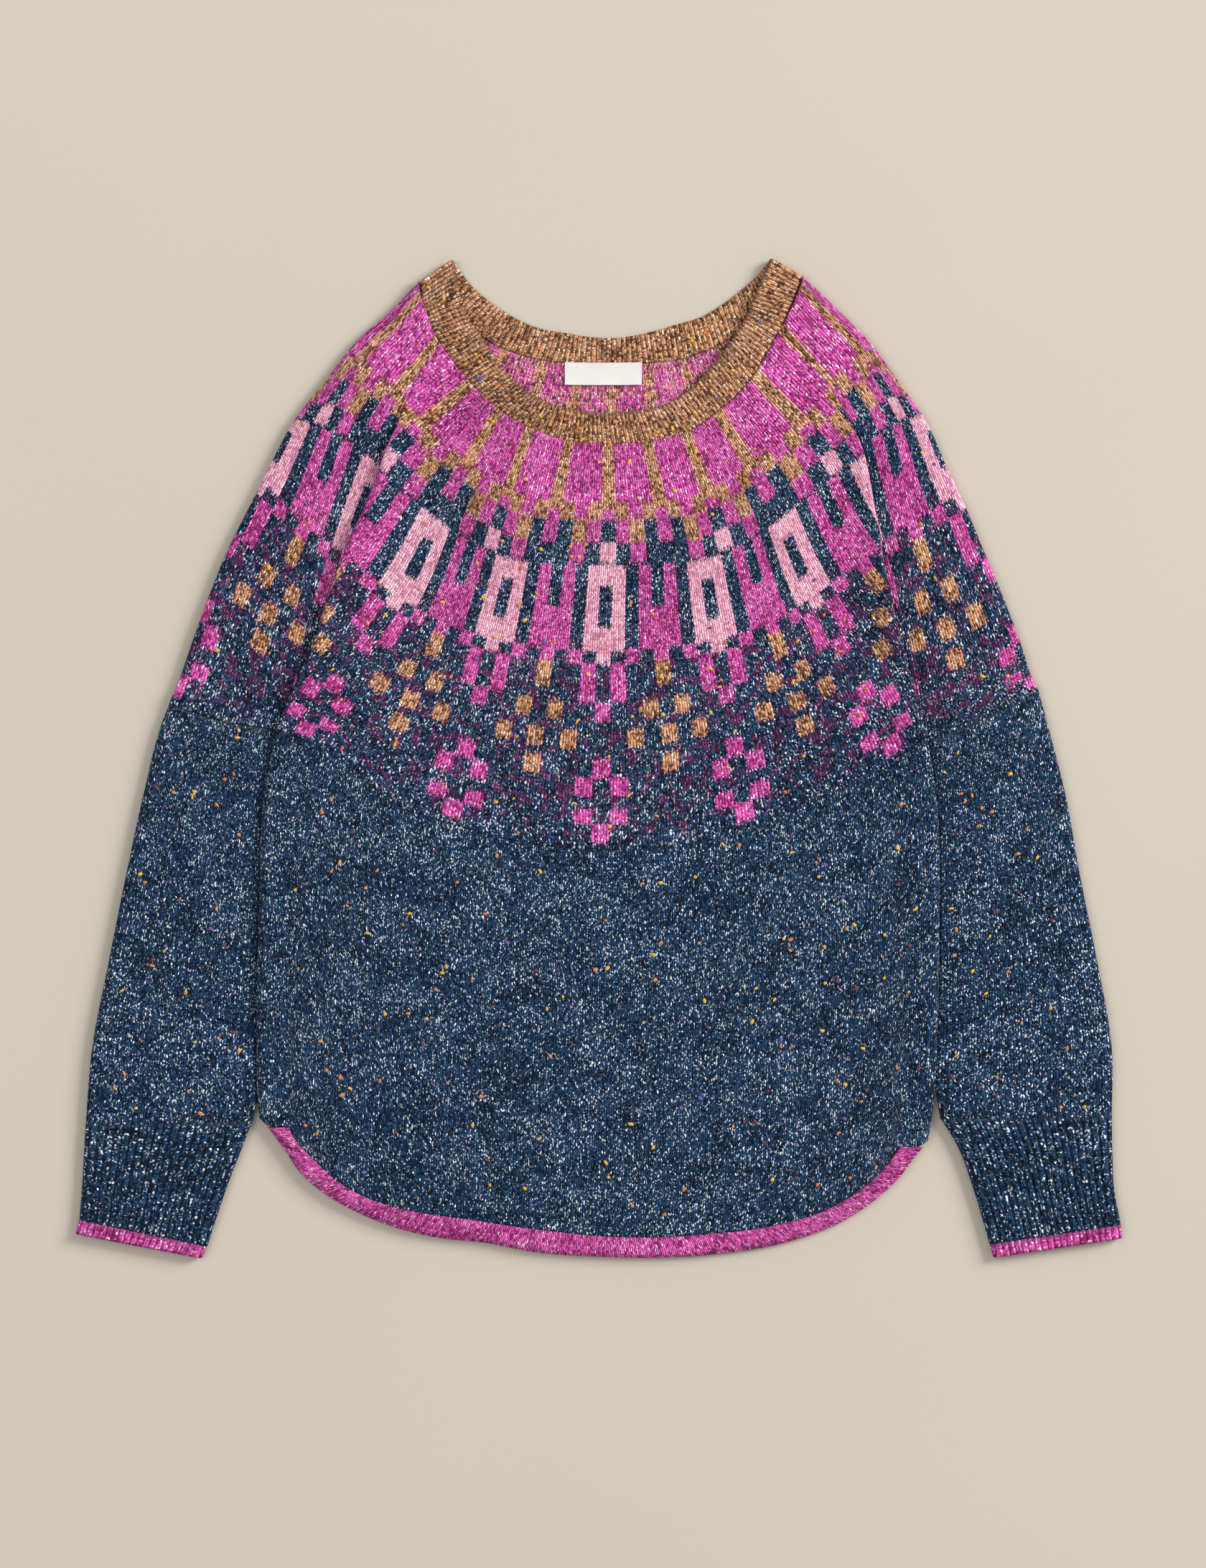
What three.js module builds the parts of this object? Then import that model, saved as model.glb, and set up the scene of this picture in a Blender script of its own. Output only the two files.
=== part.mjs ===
// A round-yoke jumper laid flat on its back, in millimetres.
// X is across the jumper, Y runs up to the neck, Z stands up from the surface it lies on.
import * as THREE from 'three';

// Cloth: the back rests on the surface and the front lies on the back.
const BACK_WALL = 3.0;
const FRONT_WALL = 3.0;
const FRONT_LOW_LEAST = 4.2;
const FRONT_LOW_MOST = 5.6;
const FRONT_RIM = 3.9;
const BACK_RIM = 3.55;
const SEAM_GAP = 0.35;
const BODY_HEIGHT = 8.3;
const SLEEVE_HEIGHT = 7.5;
const CUFF_HEIGHT = 7.2;
const HEM_HEIGHT = 7.2;

// How finely curves are measured and searched.
const CURVE_DIVISIONS = 600;
const SEARCH_STEPS = 800;

// Armpit folds: the body stands above the sleeve, with a valley beside it.
const FOLD_HEIGHT = 9.8;
const VALLEY_HEIGHT = 6.6;
const FOLD_STARTS = 0.12;
const FOLD_IS_FULL = 0.42;
const YOKE_SEAM_RIDGE = 0.7;
const SLEEVE_FOLD_SHARE = 0.8;

// Ribs of the neckband and the cuffs.
const NECK_RIBS_FRONT = 88;
const NECK_RIBS_BACK = 58;
const NECK_RIB_DEPTH = 0.8;
const NECK_FRONT_MIDDLE = 5.9;
const NECK_BACK_MIDDLE = 1.5;
const NECK_FOLD_STEPS = 6;
const CUFF_RIBS = 21;
const CUFF_RIB_DEPTH = 0.8;

// A cut edge seen from above, from one end to the other: x, y.
const SHOULDER_LEFT = [
  [-125, 331.5], [-148, 308], [-165.5, 293], [-190, 263], [-213, 233], [-229, 203],
  [-244, 173], [-259, 143], [-271, 113], [-282, 83], [-292.5, 53], [-298.5, 39],
];
const SHOULDER_RIGHT = [
  [142, 335], [170.5, 308], [185.5, 293], [208, 263], [228.5, 233], [242, 203],
  [256, 173], [268.5, 143], [281, 113], [292.5, 83], [303, 53], [306, 47.5],
];
const FOLD_LEFT = [
  [-110, 286], [-117, 278], [-143, 226], [-163, 174], [-177, 144], [-191.5, 101], [-202, 72],
  [-217, 38], [-224.5, 20],
];
const FOLD_RIGHT = [
  [131, 297], [138, 289], [163, 254], [182, 219], [192, 173], [201.5, 119], [213.5, 71],
  [223, 37], [229, 12],
];
const YOKE_SEAM = [
  [-224.5, 20], [-191.5, 6], [-170, -10], [-137, -34], [-97, -47], [-67, -55.5], [-27, -61.5],
  [8, -63], [43, -61.5], [83, -54], [120.5, -41.5], [150, -27.5], [185, -14], [208, 1], [229, 12],
];
const SLEEVE_SEAM_LEFT = { outer: [-298.5, 39], inner: [-224.5, 20], bow: 3 };
const SLEEVE_SEAM_RIGHT = { outer: [306, 47.5], inner: [229, 12], bow: 1.5 };
const SIDE_LEFT = [
  [-224.5, 20], [-228.5, 0], [-232.5, -22], [-236, -97], [-238, -172], [-238, -215], [-237.5, -236],
  [-236, -250],
];
const SIDE_RIGHT = [
  [229, 12], [231.5, 0], [234.5, -22], [237, -122], [235.5, -197], [234, -228], [232, -248],
  [229, -266],
];
const HEM_LINE = [
  [-236, -250], [-229, -255.5], [-216, -256.5], [-211, -265], [-196, -281], [-183, -293],
  [-170.5, -301], [-150, -309.5], [-126, -315.5], [-94, -320], [-47, -327], [8, -332.5],
  [38, -333], [73, -331], [123, -324.5], [159, -313.5], [181, -300.5], [197, -286.5],
  [210, -270], [219, -267], [229, -266],
];
const HEM_CORNER_LEFT = [-216, -256.5];
const HEM_CORNER_RIGHT = [210, -270];
const HEM_TIP_EDGE = [
  [-230, -256.5], [-216.5, -275], [-209, -286.5], [-189.5, -303.5], [-164, -317.5], [-132, -329],
  [-106.5, -334], [-81, -336.5], [-47, -343], [8, -346.8], [45, -347.2], [83, -344.5], [130, -336.5],
  [170.5, -321.5], [193, -306.5], [209, -291.5], [221, -275.5],
];

// Neckband, front and back: upper edge x, y, then lower edge x, y.
const NECK_FRONT = [
  [-102, 347.5, -125, 331.5], [-98, 330, -123, 316], [-91.5, 308.5, -117, 298],
  [-81, 292.5, -104.5, 279], [-70.5, 276.5, -93, 264], [-55, 259, -75, 245],
  [-40, 249.5, -53, 230.5], [-22.5, 243.5, -28.5, 220.5], [2, 240, 4, 216],
  [25, 241.5, 32, 219], [44.5, 245.5, 58, 224.5], [63.5, 257, 78, 237],
  [78.5, 272.5, 95.5, 251], [90, 287.5, 109, 267], [100, 303, 122, 289],
  [109.5, 324, 134, 316], [120, 348.5, 142, 335],
];
const NECK_BACK = [
  [120, 348.5, 142, 335], [107.5, 333, 120, 312], [92, 320, 100, 297], [73, 308, 80, 286],
  [54, 302, 58, 278], [34.5, 296.5, 38, 275.5], [15.5, 293, 16, 274], [-3.5, 293, -4, 274],
  [-22.5, 296, -28, 275.5], [-42, 299.5, -50, 279.5], [-61, 308, -74, 288.5],
  [-76, 318, -92, 301], [-89.5, 330, -108, 315], [-102, 347.5, -125, 331.5],
];

// Sleeves: the outer edge from the top down, and where the cuff starts beside the body.
const SLEEVE_OUTER_LEFT = [
  [-298.5, 38.6], [-304.5, 23], [-316, -22], [-329, -82], [-341, -142], [-352.5, -202], [-357, -256],
];
const SLEEVE_OUTER_RIGHT = [
  [306, 47.1], [312.5, 23], [324, -22], [335, -82], [347, -142], [357, -202], [357, -250],
];
const CUFF_START_LEFT = [-240.5, -252.5];
const CUFF_START_RIGHT = [237.7, -251];
const SLEEVE_FROM_BODY = 0.9;
const SLEEVE_STEPS_DOWN = 10;
const SLEEVE_STEPS_ACROSS = 10;
const CUFF_STEPS_DOWN = 4;

// Cuffs and cuff tips from the top down: outer edge x, y, then the edge by the body x, y.
const CUFF_LEFT_ROWS = [
  [-357, -256.4, -241, -252.9], [-358.2, -277, -248.5, -272], [-359.4, -298, -258.5, -298],
  [-361.3, -321, -272.3, -339.4],
];
const CUFF_RIGHT_ROWS = [
  [357, -250.4, 238, -251.4], [357.4, -273, 250.5, -271.5], [358.5, -298, 259.5, -296],
  [363.3, -324.4, 272, -337.9],
];
const CUFF_TIP_LEFT_ROWS = [
  [-361.4, -321.5, -272.5, -339.9], [-362.8, -326, -274.4, -344], [-364, -330.5, -276, -347.5],
];
const CUFF_TIP_RIGHT_ROWS = [
  [363.4, -324.9, 272.1, -338.4], [363.8, -329, 273.5, -342.8], [364, -333.5, 274.5, -347],
];

// Soft folds of the front: middle x, y, half length, half width, turn in degrees, height.
const FOLDS = [
  { x: -60, y: 150, length: 120, width: 22, turn: 62, height: 0.7 },
  { x: 70, y: 140, length: 130, width: 24, turn: 118, height: 0.7 },
  { x: -130, y: -40, length: 110, width: 20, turn: 68, height: 0.9 },
  { x: 140, y: -60, length: 120, width: 20, turn: 108, height: 0.8 },
  { x: -40, y: -180, length: 150, width: 34, turn: 84, height: 0.7 },
  { x: 60, y: -220, length: 120, width: 30, turn: 97, height: -0.6 },
  { x: -150, y: -240, length: 80, width: 22, turn: 40, height: 0.6 },
  { x: 150, y: -250, length: 80, width: 24, turn: 140, height: 0.6 },
  { x: -280, y: -60, length: 110, width: 16, turn: 82, height: 0.7 },
  { x: -300, y: -190, length: 90, width: 16, turn: 84, height: -0.6 },
  { x: 280, y: -40, length: 100, width: 16, turn: 97, height: 0.7 },
  { x: 300, y: -180, length: 100, width: 16, turn: 95, height: -0.6 },
  { x: 0, y: 30, length: 90, width: 40, turn: 8, height: -0.6 },
];

// Rounded side edges, a row a column of the sheet: inset from the edge, share of the height.
const EDGE_TOP = [
  { inset: 0, rise: 0.08 }, { inset: 0.8, rise: 0.5 }, { inset: 2.6, rise: 0.83 },
  { inset: 6.5, rise: 1 },
];
const EDGE_LOW = [
  { inset: 0, rise: 0 }, { inset: 3.0, rise: 0 }, { inset: 3.6, rise: 0.8 },
  { inset: 6.5, rise: 1 },
];

// Flattened tube: inset and height of the outer wall, then of the inner wall.
const TUBE_EDGE_TOP = [
  { inset: 0.8, z: 5.6, insetIn: 3.3, zIn: 4.2 }, { inset: 2.6, z: 7.0, insetIn: 4.2, zIn: 4.5 },
];
const TUBE_RIM = { inset: 0, z: 3.7, insetIn: 3.0, zIn: 3.7 };
const TUBE_EDGE_LOW = [
  { inset: 0.8, z: 1.5, insetIn: 3.3, zIn: 3.3 }, { inset: 3.6, z: 0, insetIn: 4.8, zIn: 3.0 },
];
const TUBE_FLAT_TOP_INSET = 6.5;
const TUBE_FLAT_LOW_INSET = 8;
const TUBE_HOLLOW_TOP = 4.7;
const TUBE_LOW_STEPS = 4;
const BOW_FADE_POWER = 4;

function smoothStep(low, high, value) {
  const share = Math.min(1, Math.max(0, (value - low) / (high - low)));
  return share * share * (3 - 2 * share);
}

function mix(from, to, share) {
  return from + (to - from) * share;
}

// From 0 at both ends of a share to 1 in its middle.
function arch(share) {
  return 4 * share * (1 - share);
}

// The height that the soft folds add at a place.
function foldHeight(x, y) {
  return FOLDS.reduce((sum, fold) => {
    const turn = THREE.MathUtils.degToRad(fold.turn);
    const along = (x - fold.x) * Math.cos(turn) + (y - fold.y) * Math.sin(turn);
    const across = (y - fold.y) * Math.cos(turn) - (x - fold.x) * Math.sin(turn);
    return sum + fold.height * Math.exp(-((along / fold.length) ** 2) - (across / fold.width) ** 2);
  }, 0);
}

// A smooth line through a table's points, walked by its length.
function line(points) {
  const curve = new THREE.CatmullRomCurve3(points.map(([x, y]) => new THREE.Vector3(x, y, 0)));
  curve.arcLengthDivisions = CURVE_DIVISIONS;
  return (share) => curve.getPointAt(Math.min(1, Math.max(0, share)));
}

// A patch between four edges: across from left to right, down from top to bottom.
function patch({ top, bottom, left, right }) {
  const corners = [top(0), top(1), bottom(0), bottom(1)];
  return (across, down) => {
    const point = top(across).multiplyScalar(1 - down).addScaledVector(bottom(across), down);
    point.addScaledVector(left(down), 1 - across).addScaledVector(right(down), across);
    point.addScaledVector(corners[0], -(1 - across) * (1 - down));
    point.addScaledVector(corners[1], -across * (1 - down));
    point.addScaledVector(corners[2], -(1 - across) * down);
    point.addScaledVector(corners[3], -across * down);
    return point;
  };
}

function geometryFrom(points, faces) {
  const geometry = new THREE.BufferGeometry();
  const positions = points.flatMap((point) => [point.x, point.y, point.z]);
  geometry.setAttribute('position', new THREE.Float32BufferAttribute(positions, 3));
  geometry.setIndex(faces.flat());
  geometry.computeVertexNormals();
  return geometry;
}

// A closed sheet from two grids of points with the same rows and columns, rows running down.
function sheetGeometry(topGrid, lowGrid) {
  const rows = topGrid.length;
  const columns = topGrid[0].length;
  const points = [...topGrid.flat(), ...lowGrid.flat()];
  const top = (row, column) => row * columns + column;
  const low = (row, column) => rows * columns + top(row, column);
  const faces = [];
  const quad = (a, b, c, d) => faces.push([a, b, c], [a, c, d]);
  for (let row = 0; row < rows - 1; row += 1) {
    for (let column = 0; column < columns - 1; column += 1) {
      quad(top(row, column), top(row + 1, column), top(row + 1, column + 1), top(row, column + 1));
      quad(low(row, column), low(row, column + 1), low(row + 1, column + 1), low(row + 1, column));
    }
    quad(top(row, 0), low(row, 0), low(row + 1, 0), top(row + 1, 0));
    const last = columns - 1;
    quad(top(row, last), top(row + 1, last), low(row + 1, last), low(row, last));
  }
  for (let column = 0; column < columns - 1; column += 1) {
    quad(top(0, column), top(0, column + 1), low(0, column + 1), low(0, column));
    const last = rows - 1;
    quad(top(last, column), low(last, column), low(last, column + 1), top(last, column + 1));
  }
  return geometryFrom(points, faces);
}

// Shares across the body's width: close at both rounded sides, even between the hem's corners.
function sharesAcross(edges, middleSteps, corners) {
  const near = edges.map((edge) => edge.inset / BODY_WIDTH);
  const middle = [];
  for (let step = 0; step <= middleSteps; step += 1) {
    middle.push(mix(corners.left, corners.right, step / middleSteps));
  }
  return [...near, ...middle, ...near.map((share) => 1 - share).reverse()];
}

function edgeRise(edges, column, columns) {
  const nearest = Math.min(column, columns - 1 - column);
  return nearest < edges.length ? edges[nearest].rise : 1;
}

function pointAtHeight(point, height) {
  return new THREE.Vector3(point.x, point.y, height);
}

// The share of an edge's length that lies nearest a point.
function shareNearest(edge, [x, y]) {
  const target = new THREE.Vector3(x, y, 0);
  let best = 0;
  for (let step = 0; step <= SEARCH_STEPS; step += 1) {
    const share = step / SEARCH_STEPS;
    if (edge(share).distanceTo(target) < edge(best).distanceTo(target)) best = share;
  }
  return best;
}

// The part of an edge between two shares of its length.
function stretch(edge, from, to) {
  return (share) => edge(mix(from, to, share));
}

// Body: front and back are one outline, the front higher along the sides that cover the sleeves.
const BODY_WIDTH = 472;
const BODY_STEPS_ACROSS = 18;
const BODY_STEPS_DOWN = 18;
const BODY_BACK_STEPS_DOWN = 5;
const SIDE_RAISED_WIDTH = 34;
const SIDE_FADES_FROM = 0.6;
const SIDE_FADED_BY = 0.95;
const HEM_THINS_FROM = 0.9;

function bodyHeight(point, down) {
  const fromSide = Math.min(point.x + BODY_WIDTH / 2, BODY_WIDTH / 2 - point.x);
  const side = (FOLD_HEIGHT - BODY_HEIGHT) * Math.exp(-((fromSide / SIDE_RAISED_WIDTH) ** 2));
  const shareOfSide = 1 - smoothStep(SIDE_FADES_FROM, SIDE_FADED_BY, down);
  const full = BODY_HEIGHT + side * shareOfSide + foldHeight(point.x, point.y);
  return mix(full, HEM_HEIGHT, smoothStep(HEM_THINS_FROM, 1, down));
}

function bodyOutline() {
  return patch({
    top: line(YOKE_SEAM.map(([x, y]) => [x, y - SEAM_GAP])),
    bottom: line(HEM_LINE),
    left: line(SIDE_LEFT.map(([x, y]) => [x, y - SEAM_GAP])),
    right: line(SIDE_RIGHT.map(([x, y]) => [x, y - SEAM_GAP])),
  });
}

function hemCorners() {
  const hem = line(HEM_LINE);
  return { left: shareNearest(hem, HEM_CORNER_LEFT), right: shareNearest(hem, HEM_CORNER_RIGHT) };
}

function bodyFrontGeometry() {
  const place = bodyOutline();
  const gridOf = (edges, heightAt) => {
    const shares = sharesAcross(edges, BODY_STEPS_ACROSS, hemCorners());
    const grid = [];
    for (let row = 0; row <= BODY_STEPS_DOWN; row += 1) {
      const down = row / BODY_STEPS_DOWN;
      grid.push(shares.map((across, column) => {
        const point = place(across, down);
        const rise = edgeRise(edges, column, shares.length);
        return pointAtHeight(point, mix(FRONT_RIM, heightAt(bodyHeight(point, down)), rise));
      }));
    }
    return grid;
  };
  return sheetGeometry(gridOf(EDGE_TOP, (full) => full), gridOf(EDGE_LOW, underFront));
}

// The underside of the front below its top: a wall lower, but never far above the back.
function underFront(full) {
  return Math.min(FRONT_LOW_MOST, Math.max(FRONT_LOW_LEAST, full - FRONT_WALL));
}

// The back of the body: flat on the surface, its sides rounded up to meet the front.
function bodyBackGeometry() {
  const place = bodyOutline();
  const gridOf = (edges, level) => {
    const shares = sharesAcross(edges, BODY_STEPS_ACROSS, hemCorners());
    const grid = [];
    for (let row = 0; row <= BODY_BACK_STEPS_DOWN; row += 1) {
      grid.push(shares.map((across, column) => {
        const rise = edgeRise(edges, column, shares.length);
        return pointAtHeight(place(across, row / BODY_BACK_STEPS_DOWN), mix(BACK_RIM, level, rise));
      }));
    }
    return grid;
  };
  return sheetGeometry(gridOf(EDGE_LOW, BACK_WALL), gridOf(EDGE_TOP, 0));
}

// Yoke: three stretches side by side, parted by the two armpit folds.
const YOKE_STEPS_DOWN = 13;
const YOKE_BACK_STEPS_DOWN = 5;
const SLEEVE_PART_WIDTH = 74;
const SLEEVE_PART_STEPS = 5;
const SEAM_ROW_SHARE = 0.985;
const NECK_GAP = 0.85;

// The yoke's neck edge: the neckband's lower edge, a seam's gap further from its upper edge.
function neckEdge(table) {
  return table.map(([upperX, upperY, lowerX, lowerY]) => {
    const share = NECK_GAP / Math.hypot(lowerX - upperX, lowerY - upperY);
    return [lowerX + (lowerX - upperX) * share, lowerY + (lowerY - upperY) * share];
  });
}

// Beside a fold line: inset on the sleeve's side of it, height of the valley there.
const VALLEY = [
  { inset: 9, height: SLEEVE_HEIGHT }, { inset: 3, height: VALLEY_HEIGHT },
  { inset: 0.6, height: VALLEY_HEIGHT },
];
// On the body's side, at the same places across as the body's own columns.
const CREST = [
  { inset: 0, height: 7.4 }, { inset: 0.8, height: 8.8 }, { inset: 2.6, height: 9.6 },
  { inset: 6.5, height: FOLD_HEIGHT },
];
const CREST_FOOT_HEIGHT = 9.3;

// A sleeve's upper end: straight across in plan, with a little bow towards the cuff.
function sleeveSeam({ outer, inner, bow }) {
  return (share) => new THREE.Vector3(
    mix(outer[0], inner[0], share),
    mix(outer[1], inner[1], share) - bow * arch(share),
    0,
  );
}

function yokePatches(neckPoints) {
  const neck = line(neckPoints);
  const leftEnd = shareNearest(neck, FOLD_LEFT[0]);
  const rightEnd = shareNearest(neck, FOLD_RIGHT[0]);
  const foldLeft = line([neck(leftEnd).toArray(), ...FOLD_LEFT.slice(1)]);
  const foldRight = line([neck(rightEnd).toArray(), ...FOLD_RIGHT.slice(1)]);
  const rightSeam = sleeveSeam(SLEEVE_SEAM_RIGHT);
  return [
    patch({
      top: stretch(neck, 0, leftEnd),
      bottom: sleeveSeam(SLEEVE_SEAM_LEFT),
      left: line([neckPoints[0], ...SHOULDER_LEFT.slice(1)]),
      right: foldLeft,
    }),
    patch({
      top: stretch(neck, leftEnd, rightEnd),
      bottom: line(YOKE_SEAM),
      left: foldLeft,
      right: foldRight,
    }),
    patch({
      top: stretch(neck, rightEnd, 1),
      bottom: (share) => rightSeam(1 - share),
      left: foldRight,
      right: line([neckPoints[neckPoints.length - 1], ...SHOULDER_RIGHT.slice(1)]),
    }),
  ];
}

// The yoke's columns from left to right: part, share across it, rise of its edge, full height.
function yokeColumns(edges) {
  const sleeve = edges.map(({ inset, rise }) => ({
    share: inset / SLEEVE_PART_WIDTH, rise, height: SLEEVE_HEIGHT,
  }));
  const start = sleeve[sleeve.length - 1].share;
  const end = 1 - VALLEY[0].inset / SLEEVE_PART_WIDTH;
  for (let step = 1; step < SLEEVE_PART_STEPS; step += 1) {
    const share = mix(start, end, step / SLEEVE_PART_STEPS);
    sleeve.push({ share, rise: 1, height: SLEEVE_HEIGHT });
  }
  VALLEY.forEach(({ inset, height }) => {
    sleeve.push({ share: 1 - inset / SLEEVE_PART_WIDTH, rise: 1, height });
  });
  const shares = sharesAcross(edges, BODY_STEPS_ACROSS, hemCorners());
  const crestHeights = [...CREST.map(({ height }) => height), CREST_FOOT_HEIGHT];
  const body = shares.map((share, column) => {
    const nearest = Math.min(column, shares.length - 1 - column);
    return { share, rise: 1, height: crestHeights[nearest] ?? BODY_HEIGHT };
  });
  const left = sleeve.map((column) => ({ ...column, part: 0 }));
  const right = sleeve.map((column) => ({ ...column, part: 2, share: 1 - column.share })).reverse();
  return [...left, ...body.map((column) => ({ ...column, part: 1 })), ...right];
}

function yokeRowShare(row) {
  return row === YOKE_STEPS_DOWN - 1 ? SEAM_ROW_SHARE : row / YOKE_STEPS_DOWN;
}

function yokeFrontGeometry() {
  const parts = yokePatches(neckEdge(NECK_FRONT));
  const gridOf = (edges, heightAt) => {
    const columns = yokeColumns(edges);
    const grid = [];
    for (let row = 0; row <= YOKE_STEPS_DOWN; row += 1) {
      const down = yokeRowShare(row);
      const ridge = down < SEAM_ROW_SHARE ? 0 : YOKE_SEAM_RIDGE;
      const foldShare = smoothStep(FOLD_STARTS, FOLD_IS_FULL, down);
      grid.push(columns.map((column) => {
        const point = parts[column.part](column.share, down);
        const flat = mix(SLEEVE_HEIGHT, column.height, foldShare);
        const full = flat + foldHeight(point.x, point.y) + ridge;
        return pointAtHeight(point, mix(FRONT_RIM, heightAt(full), column.rise));
      }));
    }
    return grid;
  };
  return sheetGeometry(gridOf(EDGE_TOP, (full) => full), gridOf(EDGE_LOW, underFront));
}

function yokeBackGeometry() {
  const parts = yokePatches(neckEdge([...NECK_BACK].reverse()));
  const gridOf = (edges, level) => {
    const columns = yokeColumns(edges);
    const grid = [];
    for (let row = 0; row <= YOKE_BACK_STEPS_DOWN; row += 1) {
      grid.push(columns.map((column) => {
        const point = parts[column.part](column.share, row / YOKE_BACK_STEPS_DOWN);
        return pointAtHeight(point, mix(BACK_RIM, level, column.rise));
      }));
    }
    return grid;
  };
  return sheetGeometry(gridOf(EDGE_LOW, BACK_WALL), gridOf(EDGE_TOP, 0));
}

// A flattened tube open at both ends, ring by ring from its upper end, ribs on its upper side.
function tubeGeometry({ outerEdge, bodyEdge, rowSteps, topSteps, ribDepth, topHeight, bow }) {
  const rings = [];
  for (let row = 0; row <= rowSteps; row += 1) {
    rings.push(tubeRing({
      start: outerEdge(row / rowSteps),
      end: bodyEdge(row / rowSteps),
      bow: bow * (1 - row / rowSteps) ** BOW_FADE_POWER,
      topSteps,
      ribDepth,
      topHeight,
    }));
  }
  return ringsGeometry(rings);
}

// A cuff's outer edge and its edge by the body.
function edgesOf(rows) {
  return {
    outerEdge: line(rows.map(([x, y]) => [x, y])),
    bodyEdge: line(rows.map(([, , x, y]) => [x, y])),
  };
}

// A sleeve's edges: its own outer edge, and the body's side a little way off, down to the cuff.
function sleeveEdges(outer, side, cuffStart, away) {
  const beside = side.slice(0, -2).map(([x, y]) => [x + away, y - SEAM_GAP]);
  return { outerEdge: line(outer), bodyEdge: line([...beside, cuffStart]) };
}

// Places round one ring of a tube: share across, outer height, share across inside, inner height.
function tubeRing({ start, end, topSteps, ribDepth, topHeight, bow }) {
  const width = start.distanceTo(end);
  const places = [{ ...TUBE_RIM, side: 0 }];
  TUBE_EDGE_TOP.forEach((edge) => places.push({ ...edge, side: 0 }));
  for (let step = 0; step <= topSteps; step += 1) {
    const inset = mix(TUBE_FLAT_TOP_INSET, width - TUBE_FLAT_TOP_INSET, step / topSteps);
    const z = topHeight + (step % 2 === 1 ? ribDepth : 0);
    places.push({ inset, z, insetIn: inset, zIn: TUBE_HOLLOW_TOP, side: 0, isTop: true });
  }
  [...TUBE_EDGE_TOP].reverse().forEach((edge) => places.push({ ...edge, side: 1 }));
  places.push({ ...TUBE_RIM, side: 1 });
  TUBE_EDGE_LOW.forEach((edge) => places.push({ ...edge, side: 1 }));
  for (let step = 1; step < TUBE_LOW_STEPS; step += 1) {
    const inset = mix(width - TUBE_FLAT_LOW_INSET, TUBE_FLAT_LOW_INSET, step / TUBE_LOW_STEPS);
    places.push({ inset, z: 0, insetIn: inset, zIn: BACK_WALL, side: 0 });
  }
  [...TUBE_EDGE_LOW].reverse().forEach((edge) => places.push({ ...edge, side: 0 }));
  const spot = (inset, side) => {
    const share = side === 1 ? 1 - inset / width : inset / width;
    const point = start.clone().lerp(end, share);
    point.y -= bow * arch(share);
    return point;
  };
  return places.map((place) => {
    const outer = spot(place.inset, place.side);
    const inner = spot(place.insetIn, place.side);
    const fold = place.isTop ? foldHeight(outer.x, outer.y) * SLEEVE_FOLD_SHARE : 0;
    return {
      outer: pointAtHeight(outer, place.z + fold),
      inner: pointAtHeight(inner, place.zIn + Math.max(0, fold)),
    };
  });
}

// A closed wall through rings of outer and inner points, its two ends open.
function ringsGeometry(rings) {
  const count = rings[0].length;
  const points = rings.flatMap((ring) => [
    ...ring.map((spot) => spot.outer),
    ...ring.map((spot) => spot.inner),
  ]);
  const outer = (ring, spot) => ring * count * 2 + (spot % count);
  const inner = (ring, spot) => outer(ring, spot) + count;
  const faces = [];
  const quad = (a, b, c, d) => faces.push([a, b, c], [a, c, d]);
  const last = rings.length - 1;
  for (let ring = 0; ring < last; ring += 1) {
    for (let spot = 0; spot < count; spot += 1) {
      quad(outer(ring, spot), outer(ring + 1, spot), outer(ring + 1, spot + 1), outer(ring, spot + 1));
      quad(inner(ring, spot), inner(ring, spot + 1), inner(ring + 1, spot + 1), inner(ring + 1, spot));
    }
  }
  for (let spot = 0; spot < count; spot += 1) {
    quad(outer(0, spot), outer(0, spot + 1), inner(0, spot + 1), inner(0, spot));
    quad(outer(last, spot), inner(last, spot), inner(last, spot + 1), outer(last, spot + 1));
  }
  return facingOut(geometryFrom(points, faces));
}

// Turns a closed shape's faces outwards, where its rows ran the other way.
function facingOut(geometry) {
  const position = geometry.getAttribute('position');
  const index = geometry.getIndex();
  const corner = (at) => new THREE.Vector3().fromBufferAttribute(position, index.getX(at));
  let volume = 0;
  for (let at = 0; at < index.count; at += 3) {
    volume += corner(at).dot(corner(at + 1).cross(corner(at + 2)));
  }
  if (volume < 0) {
    for (let at = 0; at < index.count; at += 3) {
      const kept = index.getX(at);
      index.setX(at, index.getX(at + 1));
      index.setX(at + 1, kept);
    }
    geometry.computeVertexNormals();
  }
  return geometry;
}

// Neckband: a ribbed strip that goes round, folded flat at its two upper corners.
const NECK_WALL = 3.0;
const NECK_FOLD_RADIUS = (NECK_FRONT_MIDDLE - NECK_BACK_MIDDLE) / 2;
const NECK_CORNER_INSET = NECK_FOLD_RADIUS + NECK_WALL / 2;
const NECK_EDGE_LOW = 0.7;
const NECK_OUTER_SHARES = [0.03, 0.5, 0.97];
const NECK_INNER_SHARES = [1, 0.5, 0];
const NECK_INNER_RIB_AT_EDGE = 0.25;

// Where a fold of the band ends on the flat, and the way out from it.
function neckCorner([upperX, upperY, lowerX, lowerY], outwardSign) {
  const upper = new THREE.Vector3(upperX, upperY, 0);
  const lower = new THREE.Vector3(lowerX, lowerY, 0);
  const along = lower.clone().sub(upper).normalize();
  const outward = new THREE.Vector3(-along.y, along.x, 0).multiplyScalar(outwardSign);
  const shift = outward.clone().multiplyScalar(-NECK_CORNER_INSET);
  return { upper: upper.add(shift), lower: lower.add(shift), outward };
}

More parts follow.
